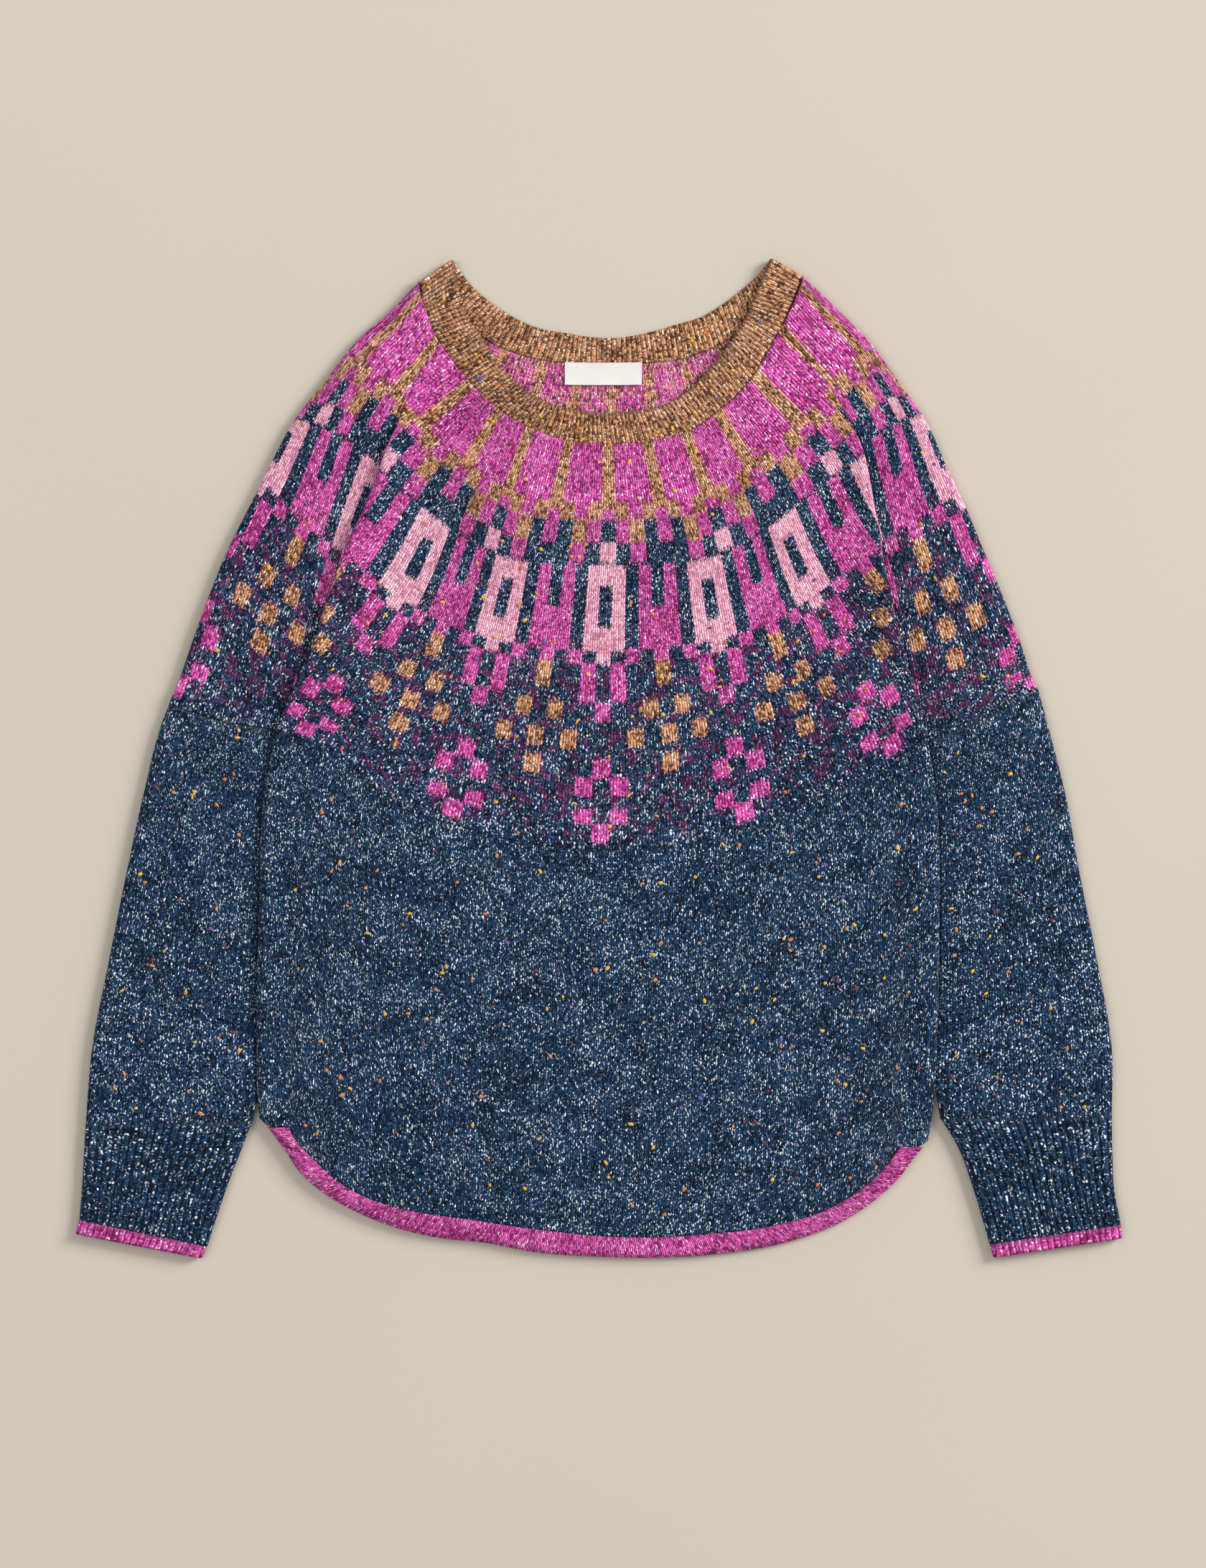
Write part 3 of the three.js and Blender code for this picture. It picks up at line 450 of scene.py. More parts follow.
for socket, value in (
    ("Tone", tone), ("Streak", streak), ("Patch", patch_noise),
    ("Fleck", ramp_between(tree, clouded, FLECK_FROM, FLECK_FULL)),
    ("Spot", ramp_between(tree, spot_noise, SPOT_FROM, SPOT_FULL)),
    # Painted shade: darkest between the legs of the stitches, where shade falls, and full colour on
    # each leg's crown.
    ("PaintedShade", ramp_between(tree, leg_height, -0.25, 0.55)),
    ("Rib", math_node(tree, "MULTIPLY_ADD", rib_turn, -0.5, 0.5)),
    ("Height", math_node(tree, "MULTIPLY_ADD", streak, 0.7, leg_height)),
):
    tree.links.new(value, legs_out.inputs[socket])

# The group blends one yarn of mixed wool from its deep, middle and light fibres, and paints shade.
mixed_wool, wool_in, wool_out = add_group(
    "mixed_wool",
    [("Deep", "NodeSocketColor"), ("Middle", "NodeSocketColor"), ("Light", "NodeSocketColor"),
     ("Tone", "NodeSocketFloat"), ("Streak", "NodeSocketFloat"), ("Fleck", "NodeSocketFloat"),
     ("Patch", "NodeSocketFloat"), ("PaintedShade", "NodeSocketFloat")],
    [("Colour", "NodeSocketColor")],
)
tree = mixed_wool
fibre = wool_in.outputs
middle_share = math_node(tree, "MULTIPLY_ADD", fibre["Tone"], 0.35, fibre["Streak"])
middle_share = math_node(tree, "MULTIPLY_ADD", fibre["Patch"], 0.3, middle_share)
middle_share = ramp_between(tree, middle_share, 0.62, 1.05)
wool_base = mix_colours(tree, middle_share, fibre["Deep"], fibre["Middle"])
light_share = math_node(tree, "MULTIPLY_ADD", fibre["Tone"], 0.75, 0.3)
light_share = math_node(tree, "MULTIPLY", light_share, fibre["Fleck"], clamp=True)
wool_colour = mix_colours(tree, light_share, wool_base, fibre["Light"])
# Painted shade: between the legs the colour is drawn towards the deep fibres.
wool_colour = mix_colours(tree, fibre["PaintedShade"], fibre["Deep"], wool_colour)
tree.links.new(wool_colour, wool_out.inputs["Colour"])

YARNS = {
    "navy": ((0.001, 0.005, 0.016), (0.017, 0.06, 0.145), (0.86, 0.93, 1.0)),
    "magenta": ((0.2, 0.012, 0.1), (0.84, 0.12, 0.53), (1.0, 0.74, 0.93)),
    "tan": ((0.075, 0.028, 0.012), (0.82, 0.4, 0.21), (1.0, 0.88, 0.72)),
    "pale": ((0.5, 0.16, 0.27), (1.0, 0.54, 0.69), (1.0, 0.9, 0.95)),
    "plum": ((0.03, 0.008, 0.035), (0.13, 0.03, 0.12), (0.42, 0.24, 0.4)),
}
EDGE_FUZZ = 2.4
STITCH_BUMP = 0.0008


def add_bump(tree, shader, height, distance):
    """Raises a finish by a height, up to a distance in metres."""
    bump = tree.nodes.new("ShaderNodeBump")
    bump.inputs["Distance"].default_value = distance
    tree.links.new(height, bump.inputs["Height"])
    tree.links.new(bump.outputs["Normal"], shader.inputs["Normal"])


def wool(name, plain_yarn, patterned=False, groove_shade=0, floats=False):
    """A knitted finish: one yarn, and over it the yarns that the piece's own chart names.

    A ribbed one gets painted shade in its grooves, by a share from 0 to 1, and one with floats
    is the wrong side of colour knit.
    """
    material, tree, shader = add_material(name, roughness=0.85)
    nodes, links = tree.nodes, tree.links
    legs = nodes.new("ShaderNodeGroup")
    legs.node_tree = stitch_legs
    leg = legs.outputs
    painted_shade, height = leg["PaintedShade"], leg["Height"]
    # A ribbed finish gets painted shade in its sunk columns, on top of the painted shade between
    # the legs, and a rib bump.
    if groove_shade:
        raised = ramp_between(tree, leg["Rib"], 0, 0.5)
        lit = math_node(tree, "MULTIPLY_ADD", raised, groove_shade, 1 - groove_shade)
        painted_shade = math_node(tree, "MULTIPLY", painted_shade, lit)
        height = math_node(tree, "MULTIPLY_ADD", leg["Rib"], 1.2, height)

    def yarn(yarn_name):
        spun = nodes.new("ShaderNodeGroup")
        spun.node_tree = mixed_wool
        for socket, colour in zip(("Deep", "Middle", "Light"), YARNS[yarn_name]):
            spun.inputs[socket].default_value = (*colour, 1)
        for socket in ("Tone", "Streak", "Fleck", "Patch"):
            links.new(leg[socket], spun.inputs[socket])
        links.new(painted_shade, spun.inputs["PaintedShade"])
        return spun.outputs["Colour"]

    colour = yarn(plain_yarn)
    if patterned:
        chart = nodes.new("ShaderNodeAttribute")
        chart.attribute_name = "yarn"
        shares = nodes.new("ShaderNodeSeparateXYZ")
        links.new(chart.outputs["Vector"], shares.inputs[0])
        stray = math_node(tree, "MULTIPLY", chart.outputs["Alpha"], leg["Spot"])
        colour = mix_colours(tree, stray, colour, yarn("plum"))
        fuzz = math_node(tree, "MULTIPLY_ADD", leg["Streak"], EDGE_FUZZ, -EDGE_FUZZ / 2)
        for share, other in zip(shares.outputs, ("magenta", "tan", "pale")):
            edge = ramp_between(tree, math_node(tree, "ADD", share, fuzz), 0.4, 0.6)
            colour = mix_colours(tree, edge, colour, yarn(other))
    if floats:
        behind = mix_colours(tree, leg["Spot"], yarn("tan"), yarn("magenta"))
        colour = mix_colours(tree, ramp_between(tree, leg["Streak"], 0.35, 0.65), behind, colour)
    links.new(colour, shader.inputs["Base Color"])
    add_bump(tree, shader, height, STITCH_BUMP)
    shader.inputs["Specular IOR Level"].default_value = 0.06
    shader.inputs["Sheen Weight"].default_value = 0.03
    shader.inputs["Sheen Roughness"].default_value = 0.6
    return material


navy_wool = wool("navy_wool", "navy")
body_outline = patch(line(YOKE_SEAM), line(HEM_LINE), line(SIDE_LEFT), line(SIDE_RIGHT))


def wrapped(along, width, reach=EDGE_ROUND):
    """A walk over a flattened tube from one side edge to the other: its inset and its rise."""
    quarter = reach * 1.25
    total = width - 2 * reach + 2 * quarter
    from_left = along * total
    nearest = np.minimum(from_left, total - from_left)
    turn = np.clip(nearest / quarter, 0, 1) * math.pi / 2
    near = np.where(nearest < quarter, reach * (1 - np.cos(turn)), reach + nearest - quarter)
    inset = np.where(from_left < total / 2, near, width - near)
    return inset, np.sin(turn)


def body_place(wale, course):
    down = 1 - course / BODY_COURSES
    inset, rise = wrapped(wale / BODY_WALES, BODY_WIDTH)
    return body_outline(inset / BODY_WIDTH, down), inset, rise, down


def body_front_place(wale, course, bulge):
    spot, inset, rise, down = body_place(wale, course)
    from_side = np.minimum(inset, BODY_WIDTH - inset)
    side = (FOLD_HEIGHT - BODY_HEIGHT) * np.exp(-((from_side / SIDE_RAISED) ** 2))
    full = BODY_HEIGHT + side * (1 - smooth_step(*SIDE_SINKS, down)) + soft_folds(*spot.T)
    full = mix(full, HEM_HEIGHT, smooth_step(HEM_THINS_FROM, 1, down))
    full = full - SEAM_STEP * (1 - smooth_step(0, SEAM_STEP_ENDS, down))
    return np.column_stack([spot, mix(FRONT_RIM, full + bulge, rise)])


def body_back_place(wale, course, bulge):
    spot, inset, rise, down = body_place(BODY_WALES - wale, course)
    return np.column_stack([spot, mix(BACK_RIM, LEG_RIDGE - bulge, rise)])


courses = stitch_stops(0, BODY_COURSES, 1)
mesh = knit_grid(stitch_stops(0, BODY_WALES, 4), courses, body_front_place)
close_sheet(mesh, FRONT_UNDER)
body_front = knit_piece("body_front_knit", mesh, [navy_wool], ["body_front"])
mesh = knit_grid(stitch_stops(0, BODY_WALES, 2), courses, body_back_place)
close_sheet(mesh, BACK_INSIDE)
body_back = knit_piece("body_back_knit", mesh, [navy_wool], ["body_back"])


# Sleeves: plain flecked tubes knitted down from the yoke, lying flat beside the body.
# Each is one wall that goes all round, with its own hollow, and narrows to the cuff.
SLEEVE_OUTER = {
    "left": [(-298.5, 38.6), (-304.5, 23), (-316, -22), (-329, -82), (-341, -142), (-352.5, -202),
             (-357, -256)],
    "right": [(306, 47.1), (312.5, 23), (324, -22), (335, -82), (347, -142), (357, -202),
              (357, -250)],
}
CUFF_START = {"left": (-240.5, -252.5), "right": (237.7, -251)}
SLEEVE_BOW = {"left": 3, "right": 1.5}
SLEEVE_GAP = 0.1
# Where each table of the body's side is cut off, because the cuff begins there.
SLEEVE_BESIDE = {"left": -1, "right": -2}
# How deep and how wide each sleeve is sunk beside the body.
SLEEVE_SUNK = {"left": 3.3, "right": 2.4}
SLEEVE_SUNK_WIDTH = 10
SLEEVE_WIDTH = 100
SLEEVE_HEIGHT = 7.5
SLEEVE_FOLD_SHARE = 0.8
CUFF_DIP = 0.5
CUFF_DIP_FROM = 0.965
TUBE_MIDDLE = 3.7
TUBE_HOLLOW = (4.5, 3.0)
SLEEVE_WALES = 32
SLEEVE_COURSES = 130
HOLLOW_ROWS = 8
HOLLOW_INSET = 3


def tube_stops(wales, top_parts, under_parts):
    """Grid lines round a flattened tube: over its top, and back beneath it."""
    over = stitch_stops(0, wales, top_parts)
    return np.concatenate([over, stitch_stops(wales, 2 * wales, under_parts)[1:]])


def tube_rows(courses):
    """Grid lines along a tube: down its outside, back up its hollow, and over to the start."""
    return stitch_stops(0, courses + HOLLOW_ROWS + 2, 1)


def tube_place(outer_edge, body_edge, wales, courses, surface):
    """Lays the grid of a tube. Its rows past the last course are its hollow."""
    def place(wale, course, bulge):
        course = np.where(course > courses + HOLLOW_ROWS + 1.5, 0, course)
        is_inside = course > courses
        down = np.where(is_inside, 1 - (course - courses - 1) / HOLLOW_ROWS, course / courses)
        above = wale <= wales
        share = np.where(above, wale / wales, 2 - wale / wales)
        start, end = outer_edge(down), body_edge(down)
        width = np.hypot(*(end - start).T)
        inset, rise = wrapped(share, width)
        inset = np.where(is_inside, np.clip(inset, HOLLOW_INSET, width - HOLLOW_INSET), inset)
        spot = mix(start, end, (inset / width)[:, None])
        bow, height = surface(spot, wale, down, inset / width)
        spot[:, 1] -= bow
        outside = np.where(above, height + bulge, LEG_RIDGE - bulge)
        full = np.where(is_inside, np.where(above, *TUBE_HOLLOW), outside)
        return np.column_stack([spot, mix(TUBE_MIDDLE, full, rise)])

    return place


def sleeve_surface(side):
    def surface(spot, wale, down, across):
        bow = SLEEVE_BOW[side] * (1 - down) ** 4 * 4 * across * (1 - across)
        from_body = (1 - across) * SLEEVE_WIDTH
        sunk = SLEEVE_SUNK[side] * np.exp(-((from_body / SLEEVE_SUNK_WIDTH) ** 2)) * (1 - down ** 6)
        height = SLEEVE_HEIGHT + soft_folds(*spot.T) * SLEEVE_FOLD_SHARE - sunk
        return bow, height - CUFF_DIP * smooth_step(CUFF_DIP_FROM, 1, down)
    return surface


sleeve_places = {}
for side, table, sign in (("left", SIDE_LEFT, -1), ("right", SIDE_RIGHT, 1)):
    beside = [(x + sign * SLEEVE_GAP, y) for x, y in table[:SLEEVE_BESIDE[side]]]
    edges = line(SLEEVE_OUTER[side]), line([*beside, CUFF_START[side]])
    place = tube_place(*edges, SLEEVE_WALES, SLEEVE_COURSES, sleeve_surface(side))
    sleeve_places[side] = place
    mesh = knit_grid(tube_stops(SLEEVE_WALES, 4, 2), tube_rows(SLEEVE_COURSES), place,
                     level_at=[SLEEVE_COURSES])
    sleeve = knit_piece(f"sleeve_{side}_knit", merged(mesh), [navy_wool],
                        [f"sleeve_{side}"])


# Cuffs: single rib in the body's wool, with a last narrow band of pink rib at the wrist.
# Every rib is a raised column of stitches beside a sunk one.
CUFF_RIBS = 21
CUFF_RIB_DEPTH = 0.6
CUFF_HEIGHT = 7.1
RIB_SLANT = 0.3
CUFF_COURSES = 36
CUFF_TIP_COURSES = 4
CUFF_RIB_PARTS = 8
# Rows across each cuff: the place of its outer edge, and the place of its inner one.
CUFF_ROWS = {
    "left": [(-357, -255.4, -240.7, -251.9), (-358.2, -277, -248.5, -272),
             (-359.4, -298, -258.5, -298), (-361.3, -321, -272.3, -339.4)],
    "right": [(357, -249.4, 238, -250.4), (357.4, -273, 250.5, -271.5), (358.5, -298, 259.5, -296),
              (363.3, -324.4, 272, -337.9)],
}
CUFF_TIP_ROWS = {
    "left": [(-361.4, -320.6, -272.4, -338.9), (-362.8, -326, -274.4, -344),
             (-364, -330.5, -276, -347.5)],
    "right": [(363.3, -324, 272, -337.5), (363.8, -329, 273.5, -342.8),
              (364, -333.5, 274.5, -347)],
}
# The cuffs' ribs get painted shade in their grooves, the pink tips' a little less.
navy_rib = wool("navy_rib", "navy", groove_shade=0.75)
pink_rib = wool("pink_rib", "magenta", groove_shade=0.5)


def rib_wave(wale, depth):
    """A raised rib over each stitch, sunk between two of them."""
    return depth * (0.5 - 0.5 * np.cos(wale * 2 * math.pi))


def rib_surface(spot, wale, down, across):
    return 0, CUFF_HEIGHT + rib_wave(wale, CUFF_RIB_DEPTH)


def rib_tube(rows, courses):
    edges = line([row[:2] for row in rows]), line([row[2:] for row in rows])
    place = tube_place(*edges, CUFF_RIBS, courses, rib_surface)
    stops = tube_stops(CUFF_RIBS, CUFF_RIB_PARTS, CUFF_RIB_PARTS)
    return merged(knit_grid(stops, tube_rows(courses), place, 0, RIB_SLANT, [courses]))


for side in ("left", "right"):
    mesh = rib_tube(CUFF_ROWS[side], CUFF_COURSES)
    cuff = knit_piece(f"cuff_{side}_rib", mesh, [navy_rib], [f"cuff_{side}"])
    mesh = rib_tube(CUFF_TIP_ROWS[side], CUFF_TIP_COURSES)
    tip = knit_piece(f"cuff_tip_{side}_rib", mesh, [pink_rib], [f"cuff_tip_{side}"])


# Hem tips: the last rounds of the body in pink, a narrow edge along the curved hem.
# The front edge lies on the back one, and both roll very slightly under.
TIP_LAP = 0.2
TIP_WALES = 176
TIP_COURSES = 6
TIP_DEPTH = 14
TIP_ROUND = 4.5
TIP_CROWN = 0.6
HEM_TIP_EDGE = [
    (-230, -256.5), (-216.5, -275), (-209, -286.5), (-189.5, -303.5), (-164, -317.5), (-132, -329),
    (-106.5, -334), (-81, -336.5), (-47, -343), (8, -346.8), (45, -347.2), (83, -344.5),
    (130, -336.5), (170.5, -321.5), (193, -306.5), (209, -291.5), (220.5, -276.5),
    (225.5, -270.5),
]
pink_wool = wool("pink_wool", "magenta")
tip_upper = line([(x, y + TIP_LAP) for x, y in HEM_LINE[2:-2]])
tip_lower = line(HEM_TIP_EDGE)


def hem_tip_place(is_front):
    def place(wale, course, bulge):
        along = wale / TIP_WALES
        along = along if is_front else 1 - along
        down = 1 - course / TIP_COURSES
        spot = mix(tip_upper(along), tip_lower(along), down[:, None])
        rim, full = BACK_RIM, LEG_RIDGE - bulge
        if is_front:
            rim, full = FRONT_RIM, HEM_HEIGHT + TIP_CROWN * np.sin(math.pi * down) + bulge
        from_edge = (1 - down) * TIP_DEPTH
        return np.column_stack([spot, mix(rim, full, rounded(from_edge, TIP_ROUND))])
    return place


for name, parts, under, rests in (("front", 4, FRONT_UNDER, "hem_tip_back_knit"),
                                  ("back", 2, BACK_INSIDE, "board")):
    mesh = knit_grid(stitch_stops(0, TIP_WALES, parts), stitch_stops(0, TIP_COURSES, 1),
                     hem_tip_place(name == "front"))
    close_sheet(mesh, under)
    tip = knit_piece(f"hem_tip_{name}_knit", mesh, [pink_wool], [f"hem_tip_{name}"])


# Yoke: stranded colour knit worked in rounds from the neck, its pattern charted below.
# At each armpit the body's part rolls over and lies on the sleeve's part, with a tuck beneath.
# Levels are read down the middle of the photo, in half millimetres. Each repeat has 8 units.
LEVELS = LEVEL_NECK, LEVEL_TOP, LEVEL_BARS, LEVEL_FLOWERS, LEVEL_SEAM = 622, 772, 848, 1117, 1183
UNITS = 8
# Rounds at which the yoke's stitches increase, the level of each, and stitches to a unit there.
ROUNDS = [0, 52, 82, 99, 119]
ROUND_LEVELS = [LEVEL_SEAM, 925, 789, 711, LEVEL_NECK - 3]
STITCHES_TO_UNIT = [3, 3, 3, 2]
COLUMNS_TO_UNIT = 12
# The chart, worked down. Each row ends at a level, and gives the yarn from a repeat's middle out.
# T is tan, M magenta, P pale pink and N navy. The lower chart takes over at its own level.
LEVEL_LOWER = 789
UPPER_CHART = [
    (703, "TMMMT"), (711, "TTMTT"), (725, "MTMTM"), (759, "NMTNM"), (784, "PNMNN"), (789, "NNNNN"),
]
LOWER_CHART = [
    (818, "PPNMN"), (848, "NPNMN"), (874, "NPNMM"), (906, "PPNMM"), (927, "PNMNM"), (958, "NMNNT"),
    (979, "NMNNN"), (1005, "MNNTN"), (1020, "NNNNN"), (1045, "NNTNT"), (1057, "NNNNN"),
    (1060, "NNNNT"), (1086, "MNNNT"), (1109, "NMNNN"), (1126, "NNNNN"), (1149, "NMNNN"),
    (1172, "MNNNN"), (1190, "NNNNN"),
]
# Repeats of the lower chart at which the upper chart's repeats fall.
UPPER_STOPS = [(-4, -3.25), (-3.73, -3), (-2.7, -2), (-1.28, -1), (0, 0), (1.25, 1), (2.71, 2),
               (3.73, 3), (4, 3.25)]
# Where the repeats lie at each level: repeat, then half millimetres from the left and the top.
MIDDLE_PART = [
    [(-3.73, 586, 412), (-3.2, 609, 478), (-2.7, 653, 536), (-1.99, 695, 575), (-1.28, 737, 600),
     (-0.64, 792, 619), (0, 847, 622), (0.62, 902, 619), (1.25, 956, 606), (1.98, 1001, 577),
     (2.71, 1054, 523), (3.2, 1088, 463), (3.73, 1110, 405)],
    [(-3.73, 420, 530), (-3, 500, 606), (-2.5, 562, 663), (-2, 616, 707), (-1.5, 664, 741),
     (-1, 717, 764), (-0.5, 780, 770), (0, 847, 772), (0.5, 914, 770), (1, 977, 764),
     (1.5, 1035, 740), (2, 1080, 708), (2.5, 1136, 664), (3, 1195, 618), (3.73, 1276, 545)],
    [(-3.73, 340, 640), (-3, 444, 684), (-2.5, 516, 727), (-2, 584, 781), (-1.5, 640, 813),
     (-1, 701, 835), (-0.5, 771, 845), (0, 843, 848), (0.5, 917, 845), (1, 989, 837),
     (1.5, 1056, 813), (2, 1108, 779), (2.5, 1170, 734), (3, 1232, 692), (3.73, 1330, 640)],
    [(-3.73, 180, 830), (-3, 285, 885), (-2.5, 365, 936), (-2, 446, 985), (-1.5, 540, 1043),
     (-1, 640, 1085), (-0.5, 737, 1108), (0, 837, 1117), (0.5, 936, 1107), (1, 1030, 1085),
     (1.5, 1132, 1050), (2, 1225, 1000), (2.5, 1310, 948), (3, 1390, 895), (3.73, 1490, 830)],
    [(-3.73, 140, 880), (-3, 250, 935), (-2.5, 332, 988), (-2, 418, 1031), (-1.5, 516, 1093),
     (-1, 626, 1147), (-0.5, 733, 1175), (0, 835.5, 1183), (0.5, 936, 1177), (1, 1040, 1152),
     (1.5, 1146, 1107), (2, 1250, 1054), (2.5, 1340, 1010), (3, 1425, 960), (3.73, 1530, 890)],
]
LEFT_PART = [
    [(-4, 584, 393), (-3.73, 586, 412), (-3.2, 609, 478), (-2.9, 628, 500)],
    [(-4, 422, 572), (-3.5, 480, 590), (-3, 537, 632), (-2.9, 549, 641)],
    [(-4, 393, 620), (-3.5, 450, 672), (-3, 505, 710), (-2.9, 516, 718)],
    [(-4, 269, 902), (-3.5, 353, 940), (-3, 440, 984), (-2.9, 458, 992)],
    [(-4, 237, 978.5), (-3.5, 335, 1008), (-3, 434, 1027), (-2.9, 454, 1031)],
]
RIGHT_PART = [
    [(2.9, 1070, 492), (3.2, 1088, 463), (3.73, 1115, 402), (4, 1118, 387)],
    [(2.9, 1158, 629), (3, 1170, 622), (3.5, 1226, 582), (4, 1272, 563)],
    [(2.9, 1181, 712), (3, 1192, 704), (3.5, 1250, 662), (4, 1307, 625)],
    [(2.9, 1231, 1002), (3, 1249, 994), (3.5, 1340, 958), (4, 1431, 922)],
    [(2.9, 1235, 1055), (3, 1254, 1049), (3.5, 1350, 1004), (4, 1446, 961.5)],
]
FOLD_LEFT = [
    (-110, 286), (-117, 278), (-143, 226), (-163, 174), (-177, 144), (-191.5, 101), (-202, 72),
    (-217, 38), (-224.5, 20),
]
FOLD_RIGHT = [
    (131, 297), (138, 289), (163, 254), (182, 219), (192, 173), (201.5, 119), (213.5, 71),
    (223, 37), (229, 12),
]
SHOULDER = {
    "left": [(-125, 331.5), (-148, 308), (-165.5, 293), (-190, 263), (-213, 233), (-229, 203),
             (-244, 173), (-259, 143), (-271, 113), (-282, 83), (-292.5, 53), (-298.5, 39)],
    "right": [(142, 335), (170.5, 308), (185.5, 293), (208, 263), (228.5, 233), (242, 203),
              (256, 173), (268.5, 143), (281, 113), (292.5, 83), (303, 53), (306, 47.5)],
}
# Plum strays come in and go out again between these levels.
PLUM_COMES, PLUM_GOES = (870, 930), (1150, 1180)
YOKE_HEIGHT = 7.9
YOKE_RISE = 0.4
LOWEST_TOP = 4.4
# Each fold grows over a first share of its line, and its swelling ends over the last one.
FOLD_GROWS = (0.1, 0.4)
SWELL_ENDS = (0.75, 1)
FOLD_SWELL = 2.2
CREST_WIDTH = 15
# Each fold acts only on the repeats past this one on its side.
FOLD_BESIDE = 1.2
ROLL_RADIUS = 3.0
ROLL_RADIUS_NECK = 0.5
# The tuck beneath a fold is measured from this many radii past the fold's line.
TUCK_FROM = 2.2
TUCK_DEPTH = 4
TUCK_DRAW = 0.25
TUCK_SLOPE = 0.02
VALLEY_DEPTH = 3.0
VALLEY_WIDTH = 10
VALLEY_FROM = 2
HIDDEN_DEPTH = 2.6
HIDDEN_SLOPE = (1, -2.5)
LOWEST_BENEATH = 4.6
# Repeats over which the sleeve's part is eased out to the line of the shoulder.
SHOULDER_EASE = (2.95, 4)
# The seam's ridge and its dip: height, then how many levels above the seam, and how wide.
SEAM_WAVES = (0.9, 10, 5), (0.4, 24, 8)
SEAM_LAP = 0.3
SEAM_EASE = 60
NOT_PAST = -99.0
# Points along a fold's line, and how many places are measured from them in one go.
FOLD_POINTS = 240
AT_ONCE = 4000


def laid(x, y):
    """A place read off the laid jumper in half millimetres, from its top left corner."""
    return (x - 834) / 2, (1056.5 - y) / 2


def part_place(part):
    """A map from a repeat and a level to a place, smooth through a part's table."""
    tables = [([row[0] for row in level], [laid(*row[1:]) for row in level]) for level in part]

    def place(repeat, level):
        at_levels = [through(stops, spots, repeat) for stops, spots in tables]
        return through(LEVELS, at_levels, level)

    return place


def beyond_line(table, spot, sign):
    """How far each place lies past a fold's line, the way out, and the share of the line there."""
    points = line(table)(np.linspace(0, 1, FOLD_POINTS))
    steps = np.gradient(points, axis=0)
    steps /= np.hypot(*steps.T)[:, None]
    out = np.stack([steps[:, 1], -steps[:, 0]], 1) * sign
    nearest = np.zeros(len(spot), int)
    for start in range(0, len(spot), AT_ONCE):
        gap = spot[start:start + AT_ONCE, None] - points[None]
        nearest[start:start + AT_ONCE] = np.argmin((gap ** 2).sum(2), 1)
    distance = ((spot - points[nearest]) * out[nearest]).sum(1)
    return distance, out[nearest], nearest / (FOLD_POINTS - 1)


def sleeve_seam(start, end, bow):
    """The line on which a sleeve hangs from the yoke."""
    share = np.linspace(0, 1, 40)[:, None]
    line_between = mix(np.array(start, float), np.array(end, float), share)
    return line_between - np.array([0, bow]) * 4 * share * (1 - share)


FOLDS = {"left": (FOLD_LEFT, 1), "right": (FOLD_RIGHT, -1)}
middle_map = part_place(MIDDLE_PART)
side_maps = {"left": part_place(LEFT_PART), "right": part_place(RIGHT_PART)}
shoulders = {side: line(table)(np.linspace(0, 1, 400)) for side, table in SHOULDER.items()}
seam_points = np.vstack([
    sleeve_seam(SHOULDER["left"][-1], YOKE_SEAM[0], SLEEVE_BOW["left"]),
    line(YOKE_SEAM)(np.linspace(0, 1, 300)),
    sleeve_seam(YOKE_SEAM[-1], SHOULDER["right"][-1], SLEEVE_BOW["right"]),
])


def to_seam(part, repeat, level):
    """How far each place moves down, so that the last round meets the body and the sleeves."""
    end = part(repeat, np.full(len(repeat), float(LEVEL_SEAM)))
    short = np.interp(end[:, 0], seam_points[:, 0], seam_points[:, 1]) - SEAM_LAP - end[:, 1]
    return short * smooth_step(LEVEL_FLOWERS - SEAM_EASE, LEVEL_SEAM, level)


def seam_rise(level):
    """The raised seam where the yoke meets the body, with a dip above it."""
    gap = LEVEL_SEAM - level
    ridge, dip = (rise * np.exp(-((gap - at) / wide) ** 2) for rise, at, wide in SEAM_WAVES)
    return ridge - dip


def middle_place(repeat, level, bulge):
    """The body's part of the yoke: at each fold its edge rolls over and turns under."""
    spot = middle_map(repeat, level)
    spot[:, 1] += to_seam(middle_map, repeat, level)
    height = YOKE_HEIGHT + YOKE_RISE * smooth_step(LEVEL_TOP, LEVEL_SEAM, level)
    height = height + soft_folds(*spot.T) + seam_rise(level) + bulge
    past = np.full(len(spot), NOT_PAST)
    for table, sign in FOLDS.values():
        distance, out, along = beyond_line(table, spot, sign)
        full = smooth_step(*FOLD_GROWS, along)
        swell = FOLD_HEIGHT - YOKE_HEIGHT + FOLD_SWELL * (1 - smooth_step(*SWELL_ENDS, along))
        crest = swell * full * np.exp(-((np.minimum(distance, 0) / CREST_WIDTH) ** 2))
        radius = mix(ROLL_RADIUS_NECK, ROLL_RADIUS, full)
        near = -repeat * sign > FOLD_BESIDE
        walked = distance + radius
        turn = np.clip(walked / radius, 0, math.pi)
        back = np.clip(walked - math.pi * radius, 0, None)
        across = -radius + radius * np.sin(turn) - back
        drop = radius * (1 - np.cos(turn)) + back * TUCK_SLOPE
        moved = spot + out * (across - distance)[:, None]
        tangent = np.stack([-out[:, 1], out[:, 0]], 1) * sign
        moved += tangent * ((along - 0.5) * 2 * TUCK_DRAW * np.clip(walked, 0, None))[:, None]
        use = (walked > 0) & near
        spot = np.where(use[:, None], moved, spot)
        height = height + np.where(near, crest, 0) - np.where(use, drop, 0)
        past = np.maximum(past, np.where(near, distance - radius * TUCK_FROM, NOT_PAST))
    return spot, np.maximum(height, LOWEST_TOP), past


